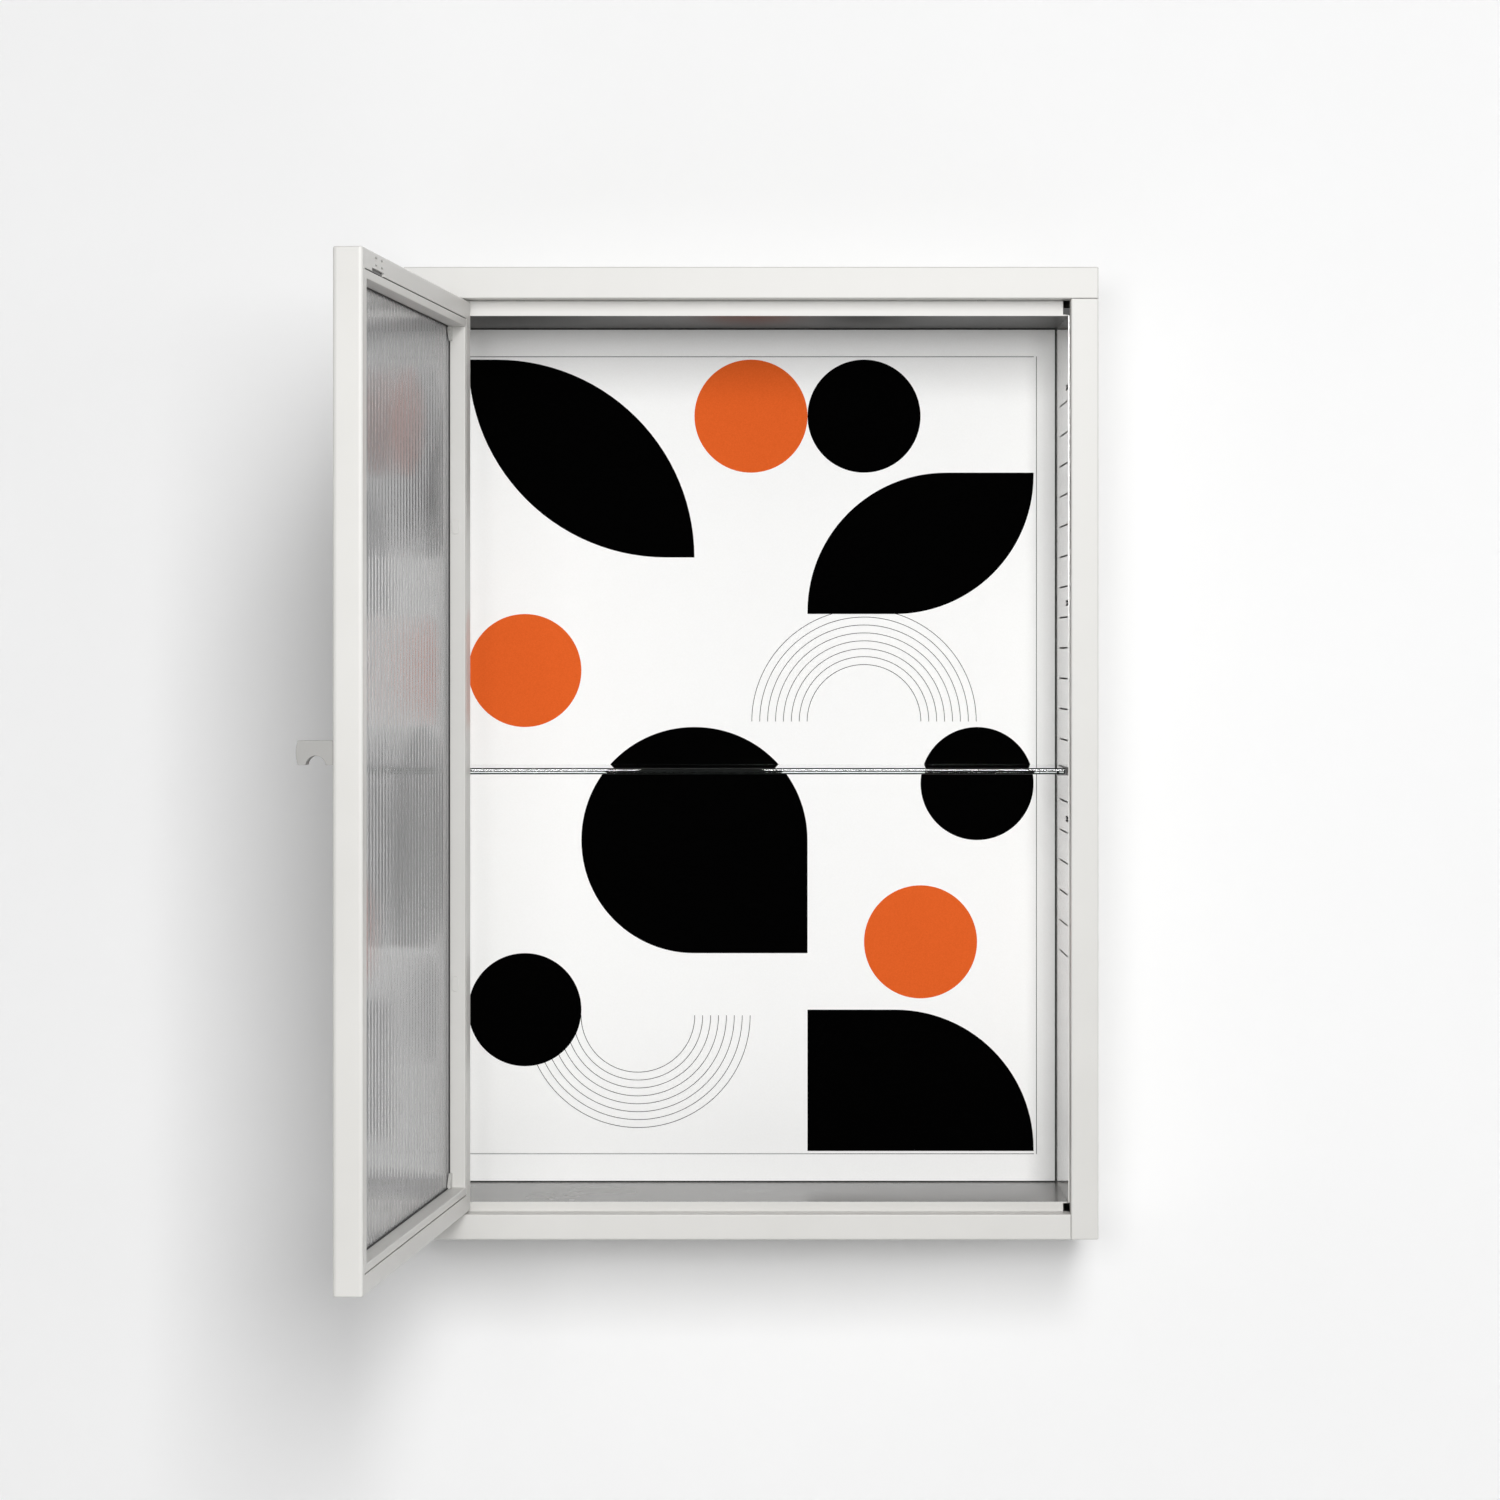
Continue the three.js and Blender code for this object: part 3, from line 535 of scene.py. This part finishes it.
def side_panel(node, inward):
    """inward is +1 on the left panel and -1 on the right one."""
    low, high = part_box(node)
    inner = high.x if inward > 0 else low.x
    piece = start_box(node + "_shell", low, high)
    edit(piece)
    choose(piece, "faces", lambda face: facing(x=inward)(face) or facing(z=1)(face))
    bpy.ops.mesh.delete(type="FACE")
    choose(piece, "edges", edge_at(x=inner, y=low.y))
    extrude_edges((0, RETURN_DEPTH, 0))
    leave()
    finish_sheet(piece)
    place(piece, "cabinet", PAINT, "painted_steel", node)


def shade_painted_sheet(name, node, shaded_paint, inside):
    """A ceiling or floor sheet: a darker copy of the paint on its inside face as painted shade, the shell's paint
    on its lips.
    """
    deselect_all()
    piece = bpy.data.objects.new(name, frame["nodes"][node].data.copy())
    bpy.context.collection.objects.link(piece)
    edit(piece)
    bpy.ops.mesh.select_all(action="SELECT")
    bpy.ops.mesh.remove_doubles(threshold=0.00001)
    bpy.ops.mesh.dissolve_limited(angle_limit=math.radians(1))
    leave()
    round_edges(piece, RIM_RADIUS, 2, 60)
    smooth(piece)
    place(piece, "cabinet", shaded_paint, "painted_steel", node)
    piece.data.materials.append(PAINT)
    for face in piece.data.polygons:
        if face.normal.z * inside < 0.9:
            face.material_index = 1


# ------------------------------------------------------------------ shelf and print


def shelf():
    """A glass plate whose bevelled arrises carry a near-black material, painted shade that stands in for the dark
    lines refraction gives its edges.

    It takes no part in shadows or in diffuse light, which would count the light behind it twice.
    """
    low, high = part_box("shelf_glass")
    piece = start_box("shelf_plate", low, high)
    round_edges(piece, ARRIS, 2)
    smooth(piece)
    place(piece, "cabinet", CLEAR, "clear_glass", "shelf_glass")
    # The bevel faces get the near-black painted shade.
    piece.data.materials.append(SHELF_EDGE_PAINTED_SHADE)
    for face in piece.data.polygons:
        if max(abs(value) for value in face.normal) < 0.99:
            face.material_index = 1
    piece.visible_shadow = False
    piece.visible_diffuse = False


PRINT_LOW, PRINT_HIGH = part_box("display_print")
PRINT_CENTRE = (PRINT_LOW + PRINT_HIGH) / 2
CELL = 0.0465  # the design's unit of length
INK_FILM = 0.00005
INK_FACE = PRINT_LOW.y - INK_FILM
LINE_WIDTH = 0.0005


def on_print(across, up):
    """A place on the sheet in cells from its centre."""
    return Vector((PRINT_CENTRE.x + across * CELL, INK_FACE, PRINT_CENTRE.z + up * CELL))


def ink_block(name, left, bottom, right, top, rounded):
    """A printed rectangle whose named corners are rounded, with the radius in cells."""
    low, high = on_print(left, bottom), on_print(right, top)
    deselect_all()
    bpy.ops.mesh.primitive_plane_add(
        size=1, location=(low + high) / 2, rotation=(math.pi / 2, 0, 0)
    )
    piece = bpy.context.object
    piece.scale = (high.x - low.x, high.z - low.z, 1)
    piece = settle(name)
    sides = {"left": low.x, "right": high.x, "bottom": low.z, "top": high.z}
    edit(piece)
    for corner, radius in rounded.items():
        upright, across = corner.split("_")
        x, z = sides[across], sides[upright]
        choose(piece, "verts", lambda vertex: near(vertex.co.x, x) and near(vertex.co.z, z))
        bpy.ops.mesh.bevel(
            affect="VERTICES", offset=radius * CELL * 0.9999, segments=28, clamp_overlap=False
        )
    leave()
    return piece


def ink_disc(name, across, up, radius):
    deselect_all()
    bpy.ops.mesh.primitive_circle_add(
        vertices=96,
        radius=radius * CELL,
        fill_type="NGON",
        location=on_print(across, up),
        rotation=(math.pi / 2, 0, 0),
    )
    return settle(name)


def ink_arc(name, across, up, radius, keep):
    """Half a thin ring, kept above or below its centre."""
    centre = on_print(across, up)
    deselect_all()
    bpy.ops.mesh.primitive_circle_add(
        vertices=128, radius=radius * CELL, location=centre, rotation=(math.pi / 2, 0, 0)
    )
    piece = settle(name)
    outer = 1 + LINE_WIDTH / (radius * CELL)
    edit(piece)
    bpy.ops.mesh.select_all(action="SELECT")
    bpy.ops.mesh.extrude_region_move()
    bpy.ops.transform.resize(value=(outer, 1, outer), center_override=centre)
    bpy.ops.mesh.select_all(action="SELECT")
    bpy.ops.mesh.bisect(
        plane_co=centre,
        plane_no=(0, 0, 1),
        clear_inner=keep == "above",
        clear_outer=keep == "below",
    )
    leave()
    return piece


def ink_line(name, left, bottom, right, top):
    low, high = on_print(left, bottom), on_print(right, top)
    half = Vector((LINE_WIDTH / 2, 0, LINE_WIDTH / 2))
    deselect_all()
    bpy.ops.mesh.primitive_plane_add(
        size=1, location=(low + high) / 2, rotation=(math.pi / 2, 0, 0)
    )
    piece = bpy.context.object
    size = high - low + 2 * half
    piece.scale = (size.x, size.z, 1)
    return settle(name)


def join_films(name, films, material):
    """Joins printed shapes of one ink into a thin film."""
    deselect_all()
    for film in films:
        film.select_set(True)
    bpy.context.view_layer.objects.active = films[0]
    bpy.ops.object.join()
    piece = settle(name)
    edit(piece)
    bpy.ops.mesh.select_all(action="SELECT")
    bpy.ops.mesh.remove_doubles(threshold=1e-6)
    leave()
    modify(piece, "SOLIDIFY", thickness=INK_FILM, offset=0)
    recalculate(piece)
    place(piece, "cabinet", material, "print")


def printed_design():
    """A plain composition of discs, rounded blocks and fine lines."""
    black = [
        ink_block("ink", -5, 3.5, -1, 7, {"bottom_left": 3.5, "top_right": 3.5}),
        ink_block("ink", 1, 2.5, 5, 5, {"top_left": 2.45, "bottom_right": 2.45}),
        ink_block(
            "ink", -3, -3.5, 1, 0.5, {"top_left": 1.99, "top_right": 1.99, "bottom_left": 1.99}
        ),
        ink_block("ink", 1, -7, 5, -4.5, {"top_right": 2.45}),
        ink_disc("ink", 2, 6, 1),
        ink_disc("ink", -4, -4.5, 1),
        ink_disc("ink", 4, -0.5, 1),
    ]
    orange = [
        ink_disc("ink", 0, 6, 1),
        ink_disc("ink", -4, 1.5, 1),
        ink_disc("ink", 3, -3.3, 1),
    ]
    lines = []
    for step in range(8):
        reach = 1 + 0.14 * step
        lines.append(ink_arc("ink", 2, 0.6, reach, "above"))
        lines.append(ink_arc("ink", -2, -4.6, reach, "below"))
    lines.append(ink_line("ink", -5, 7.05, 5, 7.05))
    lines.append(ink_line("ink", -5, -7.05, 5, -7.05))
    lines.append(ink_line("ink", 5.05, -7.05, 5.05, 7.05))
    join_films("print_black_ink", black, BLACK_INK)
    join_films("print_orange_ink", orange, ORANGE_INK)
    join_films("print_fine_lines", lines, BLACK_INK)


# ------------------------------------------------------------------ door


def window_edges(tray):
    """Left, right, bottom and top of the closed door's opening, of its tray or of its sight."""
    extra = 0 if tray else BEAD
    return (
        HINGE_EDGE + HINGE_TRAY + extra,
        FREE_EDGE - FREE_TRAY - extra,
        DOOR_LOW + RAIL_TRAY + extra,
        DOOR_HIGH - RAIL_TRAY - extra,
    )


def open_window(piece, face_test, edges, depth):
    """Insets a face, fits the inset to the given edges and removes it."""
    left, right, bottom, top = edges
    inset = bottom - DOOR_LOW
    choose(piece, "faces", face_test)
    bpy.ops.mesh.inset(thickness=inset, use_even_offset=True)
    old_left, old_right = HINGE_EDGE + inset, FREE_EDGE - inset
    for old, new in ((old_left, left), (old_right, right)):
        choose(piece, "verts", lambda v: near(v.co.y, depth) and near(v.co.x, old))
        move((new - old, 0, 0))
    middle = (left + right) / 2
    choose(
        piece,
        "faces",
        lambda face: face_test(face)
        and near(face.calc_center_median().x, middle, 1e-3)
        and face.calc_area() > 0.1,
    )
    bpy.ops.mesh.delete(type="FACE")


def on_rim(point):
    """Whether a point of the closed door lies on its outer edge."""
    on_side = near(point.x, HINGE_EDGE) or near(point.x, FREE_EDGE)
    return on_side or near(point.z, DOOR_LOW) or near(point.z, DOOR_HIGH)


def round_tray(piece):
    """Wide curves up the door's sides, tight folds along its rails, full corners at the hinge."""
    middle = (HINGE_EDGE + FREE_EDGE) / 2
    weights = piece.data.attributes.new("bevel_weight_edge", "FLOAT", "EDGE")
    for edge in piece.data.edges:
        a, b = (piece.data.vertices[index].co for index in edge.vertices)
        along = b - a
        if not (on_rim(a) and on_rim(b)):
            continue
        if abs(along.y) > DOOR_THICK / 2:
            radius = DOOR_CORNER if a.x < middle else DOOR_EDGE
        elif abs(along.z) > DOOR_WIDTH:
            radius = DOOR_SIDE
        elif abs(along.x) > DOOR_WIDTH / 2:
            radius = DOOR_EDGE
        else:
            continue
        weights.data[edge.index].value = radius / DOOR_CORNER
    modify(
        piece,
        "BEVEL",
        width=DOOR_CORNER,
        segments=6,
        limit_method="WEIGHT",
        use_clamp_overlap=False,
    )


def door_tray():
    low = Vector((HINGE_EDGE, DOOR_FRONT, DOOR_LOW))
    high = Vector((FREE_EDGE, DOOR_BACK, DOOR_HIGH))
    piece = start_box("door_tray", low, high)
    edit(piece)
    open_window(piece, facing(y=1), window_edges(True), DOOR_BACK)
    open_window(piece, facing(y=-1), window_edges(False), DOOR_FRONT)
    choose(piece, "edges", lambda edge: edge.is_boundary and near(edge.verts[0].co.y, DOOR_BACK))
    extrude_edges((0, -TRAY_RETURN, 0))
    leave()
    round_tray(piece)
    thicken(piece, SHEET)
    recalculate(piece)
    catch_openings(piece)
    round_edges(piece, RIM_RADIUS, 2, 80)
    smooth(piece)
    turn_with_door(piece)
    place(
        piece,
        "door",
        PAINT,
        "painted_steel",
        "door_hinge_stile",
        "door_free_stile",
        "door_top_rail",
        "door_bottom_rail",
    )


def catch_openings(piece):
    """Four short slits and the magnet's slot, through the tray's inner skin."""
    near_end = FREE_EDGE - CATCH_NEAR
    half, half_rise = SLIT / 2, SLIT_RISE / 2
    for back in SLIT_BACK:
        for drop in SLIT_DROP:
            across, up = near_end - back, DOOR_HIGH - drop
            cutter = start_box(
                "slit_cutter",
                (across - half, DOOR_BACK - CUT_THROUGH, up - half_rise),
                (across + half, DOOR_BACK + CUT_THROUGH, up + half_rise),
            )
            round_edges(cutter, SLIT_RISE * 0.45, 3)
            cut_away(piece, cutter)
    seam = DOOR_HIGH - RAIL_TRAY
    slot = start_box(
        "magnet_slot_cutter",
        (near_end - CATCH_LONG, DOOR_BACK - CATCH_DEEP, seam - CATCH_BELOW),
        (near_end, DOOR_BACK + CUT_THROUGH, seam + CATCH_ABOVE),
    )
    cut_away(piece, slot)


def ring(name, outer, inner, front, back):
    """A rectangular ring from left, right, bottom and top edges, as a closed solid."""
    left, right, bottom, top = outer
    inset = min(inner[0] - left, 0.002)
    piece = start_box(name, (left, front, bottom), (right, back, top))
    edit(piece)
    for depth, sign in ((front, -1), (back, 1)):
        choose(piece, "faces", facing(y=sign))
        bpy.ops.mesh.inset(thickness=inset, use_even_offset=True)
        sides = (
            ("x", left + inset, inner[0]),
            ("x", right - inset, inner[1]),
            ("z", bottom + inset, inner[2]),
            ("z", top - inset, inner[3]),
        )
        for axis, old, new in sides:
            choose(
                piece,
                "verts",
                lambda v: near(v.co.y, depth) and near(getattr(v.co, axis), old),
            )
            move((new - old, 0, 0) if axis == "x" else (0, 0, new - old))
    area = (inner[1] - inner[0]) * (inner[3] - inner[2])
    choose(
        piece,
        "faces",
        lambda face: abs(face.normal.y) > 0.9 and near(face.calc_area(), area, area * 0.01),
    )
    bpy.ops.mesh.delete(type="FACE")
    choose(piece, "edges", lambda edge: edge.is_boundary)
    bpy.ops.mesh.bridge_edge_loops()
    leave()
    recalculate(piece)
    return piece


def glazing_frame():
    """The removable frame that holds the pane in the tray, mitred and in one piece."""
    outer_left, outer_right, outer_bottom, outer_top = window_edges(True)
    outer = (outer_left + SEAM, outer_right - SEAM, outer_bottom + SEAM, outer_top - SEAM)
    piece = ring("glazing_frame", outer, window_edges(False), GLASS_BACK + BEAD_GAP, DOOR_BACK)
    round_edges(piece, BEAD_ROUND, 3)
    smooth(piece)
    turn_with_door(piece)
    place(
        piece,
        "door",
        PAINT,
        "painted_steel",
        "glazing_bead_top",
        "glazing_bead_bottom",
        "glazing_bead_hinge",
        "glazing_bead_free",
    )


def inner_gasket():
    """A thin strip between the glazing frame and the pane."""
    left, right, bottom, top = window_edges(False)
    gap, width = GASKET_GAP, GASKET_WIDTH
    outer = (left + gap, right - gap, bottom + gap, top - gap)
    inner = (left + width, right - width, bottom + width, top - width)
    front = GLASS_BACK + gap
    piece = ring("pane_gasket", outer, inner, front, front + GASKET_DEEP)
    round_edges(piece, RIM_RADIUS, 2)
    smooth(piece)
    turn_with_door(piece)
    place(piece, "door", RUBBER, "seal")


def reeded_pane():
    """One flute is shaped and repeated across the pane, flat outside and fluted inside."""
    left = HINGE_EDGE + HINGE_TRAY + GLASS_GAP
    right = FREE_EDGE - FREE_TRAY - GLASS_FREE_GAP
    bottom = DOOR_LOW + RAIL_TRAY + GLASS_GAP
    top = DOOR_HIGH - RAIL_TRAY - GLASS_GAP
    count = round((right - left) / FLUTE_PITCH)
    pitch = (right - left) / count
    valley = GLASS_BACK - FLUTE_RISE
    piece = start_box("reeded_pane", (left, GLASS_FRONT, bottom), (left + pitch, valley, top))
    edit(piece)
    choose(piece, "faces", lambda face: abs(face.normal.x) > 0.9)
    bpy.ops.mesh.delete(type="ONLY_FACE")
    choose(
        piece,
        "edges",
        lambda edge: abs(edge.verts[0].co.x - edge.verts[1].co.x) > pitch / 2,
    )
    bpy.ops.mesh.subdivide(number_cuts=FLUTE_CUTS)
    mesh = bmesh.from_edit_mesh(piece.data)
    for vertex in mesh.verts:
        if near(vertex.co.y, valley):
            along = (vertex.co.x - left) / pitch
            vertex.co.y += FLUTE_RISE * (1 - math.cos(2 * math.pi * along)) / 2
    bmesh.update_edit_mesh(piece.data)
    leave()
    modify(
        piece,
        "ARRAY",
        count=count,
        use_relative_offset=False,
        use_constant_offset=True,
        constant_offset_displace=(pitch, 0, 0),
        use_merge_vertices=True,
        merge_threshold=1e-5,
    )
    edit(piece)
    bpy.ops.mesh.select_all(action="SELECT")
    bpy.ops.mesh.fill_holes(sides=0)
    leave()
    recalculate(piece)
    smooth(piece, 30)
    turn_with_door(piece)
    place(piece, "door", REEDED, "reeded_glass", "reeded_glass")


def stile_plug(node):
    """An obround plug pressed into the reveal of the glazing frame."""
    low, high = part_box(node)
    reveal = window_edges(False)[0]
    centre = Vector((reveal, GLASS_BACK + PLUG_FROM_GLASS, (low.z + high.z) / 2))
    deselect_all()
    bpy.ops.mesh.primitive_cylinder_add(
        radius=PLUG_RADIUS,
        depth=PLUG_PROUD,
        vertices=40,
        location=centre,
        rotation=(0, math.pi / 2, 0),
    )
    piece = settle(node + "_cap")
    edit(piece)
    choose(piece, "verts", lambda vertex: vertex.co.z > centre.z + 1e-5)
    move((0, 0, PLUG_STRETCH))
    choose(piece, "verts", lambda vertex: vertex.co.z < centre.z - 1e-5)
    move((0, 0, -PLUG_STRETCH))
    leave()
    round_edges(piece, PLUG_ROUND, 3, 60)
    smooth(piece)
    turn_with_door(piece)
    place(piece, "door", PAINT, "plastic", node)


def handle():
    """A block with a bowed outer end and an arched finger notch underneath."""
    reach, tall, bow, edge_round = 0.026, 0.0167, 0.0012, 0.0011
    wide, inset, centre_z = 0.012, 0.003, 0.010
    notch_wide, notch_deep, notch_start = 0.0137, 0.0063, 0.0055
    right = FREE_EDGE - inset
    root = DOOR_FRONT
    tip = root - reach
    low_z, high_z = centre_z - tall / 2, centre_z + tall / 2
    piece = start_box("door_handle_block", (right - wide, tip, low_z), (right, root, high_z))
    edit(piece)
    choose(
        piece,
        "edges",
        lambda edge: near(edge.verts[0].co.y, tip)
        and near(edge.verts[1].co.y, tip)
        and abs(edge.verts[0].co.z - edge.verts[1].co.z) > tall / 2,
    )
    bpy.ops.mesh.subdivide(number_cuts=7)
    mesh = bmesh.from_edit_mesh(piece.data)
    for vertex in mesh.verts:
        if near(vertex.co.y, tip):
            off = (vertex.co.z - centre_z) / (tall / 2)
            vertex.co.y += bow * off * off
    bmesh.update_edit_mesh(piece.data)
    leave()
    radius = notch_wide**2 / (8 * notch_deep) + notch_deep / 2
    centre_y = root - notch_start - notch_wide / 2
    deselect_all()
    bpy.ops.mesh.primitive_cylinder_add(
        radius=radius,
        depth=wide * 2,
        vertices=96,
        location=(right - wide / 2, centre_y, low_z + notch_deep - radius),
        rotation=(0, math.pi / 2, 0),
    )
    cut_away(piece, settle("notch_cutter"))
    round_edges(piece, edge_round, 4, 32)
    smooth(piece)
    turn_with_door(piece)
    # The handle wears the darker copy of the paint, which is painted shade.
    place(piece, "door", HANDLE_PAINTED_SHADE, "painted_steel", "door_handle")


# ------------------------------------------------------------------ wall, floor, light and camera


def one_sided(name, colour):
    """A matt surface that is only there when seen from its front."""
    material, tree, shader = new_material(name)
    mottle = noise(tree, 3, 3)
    low = tuple(value * 0.985 for value in colour)
    tint = blend_colours(tree, mottle.outputs["Fac"], low, colour)
    tree.links.new(tint.outputs["Color"], shader.inputs["Base Color"])
    shader.inputs["Roughness"].default_value = 0.95
    clear = tree.nodes.new("ShaderNodeBsdfTransparent")
    geometry = tree.nodes.new("ShaderNodeNewGeometry")
    mix = tree.nodes.new("ShaderNodeMixShader")
    tree.links.new(geometry.outputs["Backfacing"], mix.inputs["Fac"])
    tree.links.new(shader.outputs["BSDF"], mix.inputs[1])
    tree.links.new(clear.outputs["BSDF"], mix.inputs[2])
    tree.links.new(mix.outputs["Shader"], tree.nodes["Material Output"].inputs["Surface"])
    return material


def stage():
    """A wall with an opening hidden behind the cabinet, and a floor below."""
    reach, floor_z, gap, overlap = 6.0, -1.6, 0.0004, 0.004
    left_low, right_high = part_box("left_side_panel")[0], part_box("top_panel")[1]
    deselect_all()
    bpy.ops.mesh.primitive_plane_add(
        size=2 * reach, location=(0, gap, floor_z + reach), rotation=(math.pi / 2, 0, 0)
    )
    wall = settle("studio_wall")
    edit(wall)
    for x in (left_low.x + overlap, right_high.x - overlap):
        bpy.ops.mesh.select_all(action="SELECT")
        bpy.ops.mesh.bisect(plane_co=(x, 0, 0), plane_no=(1, 0, 0))
    for z in (left_low.z + overlap, right_high.z - overlap):
        bpy.ops.mesh.select_all(action="SELECT")
        bpy.ops.mesh.bisect(plane_co=(0, 0, z), plane_no=(0, 0, 1))
    choose(wall, "faces", lambda face: face.calc_center_median().length < 0.1)
    bpy.ops.mesh.delete(type="FACE")
    leave()
    wall.data.materials.append(one_sided("studio_wall_paint", (0.94, 0.94, 0.94)))
    deselect_all()
    bpy.ops.mesh.primitive_plane_add(size=2 * reach, location=(0, -reach, floor_z))
    floor = settle("studio_floor")
    floor.data.materials.append(one_sided("studio_floor_paint", (0.6, 0.6, 0.6)))


def softbox(name, location, width, height, power):
    """A rectangular light that faces the cabinet's middle."""
    deselect_all()
    bpy.ops.object.light_add(type="AREA", location=location)
    light = bpy.context.object
    light.name = name
    light.data.shape = "RECTANGLE"
    light.data.size = width
    light.data.size_y = height
    light.data.energy = power
    light.rotation_mode = "QUATERNION"
    light.rotation_quaternion = (-Vector(location)).to_track_quat("-Z", "Y")


def lights():
    """A dim surround that darkens below, one tall main light and two fills."""
    world = bpy.data.worlds.new("studio")
    world.use_nodes = True
    tree = world.node_tree
    background = tree.nodes["Background"]
    background.inputs["Strength"].default_value = 0.22
    coordinates = tree.nodes.new("ShaderNodeTexCoord")
    axes = tree.nodes.new("ShaderNodeSeparateXYZ")
    sky = tree.nodes.new("ShaderNodeValToRGB")
    sky.color_ramp.elements[0].color = (0.3, 0.3, 0.3, 1)
    sky.color_ramp.elements[0].position = 0.0
    sky.color_ramp.elements[1].color = (1, 1, 1, 1)
    sky.color_ramp.elements[1].position = 0.3
    tree.links.new(coordinates.outputs["Generated"], axes.inputs["Vector"])
    tree.links.new(axes.outputs["Z"], sky.inputs["Fac"])
    tree.links.new(sky.outputs["Color"], background.inputs["Color"])
    bpy.context.scene.world = world
    softbox("main_softbox", (0.5, -4.6, 1.2), 1.0, 2.1, 131)
    softbox("left_softbox", (-0.6, -4.7, 0.45), 0.8, 0.8, 33)
    softbox("side_softbox", (4.0, -1.6, 0.7), 1.6, 1.6, 18)


def camera():
    """Level, square to the wall and a little above the cabinet's middle."""
    distance, aside, eye_height, lens, shift = 3.615, -0.0008, 0.0735, 110.06, -0.06
    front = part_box("top_panel")[0].y
    bpy.ops.object.camera_add(
        location=(aside, front - distance, eye_height), rotation=(math.pi / 2, 0, 0)
    )
    eye = bpy.context.object
    eye.name = "showcase_camera"
    eye.data.sensor_width = 36
    eye.data.lens = lens
    eye.data.shift_y = shift
    bpy.context.scene.camera = eye
    bpy.context.scene.view_settings.view_transform = "Standard"


finish_cad_nodes()
top_panel()
bottom_panel()
side_panel("left_side_panel", 1)
side_panel("right_side_panel", -1)
shade_painted_sheet("ceiling_sheet", "ceiling_panel", CEILING_PAINTED_SHADE, -1)
shade_painted_sheet("floor_sheet", "floor_panel", FLOOR_PAINTED_SHADE, 1)
shelf()
printed_design()
door_tray()
glazing_frame()
inner_gasket()
reeded_pane()
stile_plug("stile_plug_lower")
stile_plug("stile_plug_upper")
handle()
stage()
lights()
camera()
deselect_all()
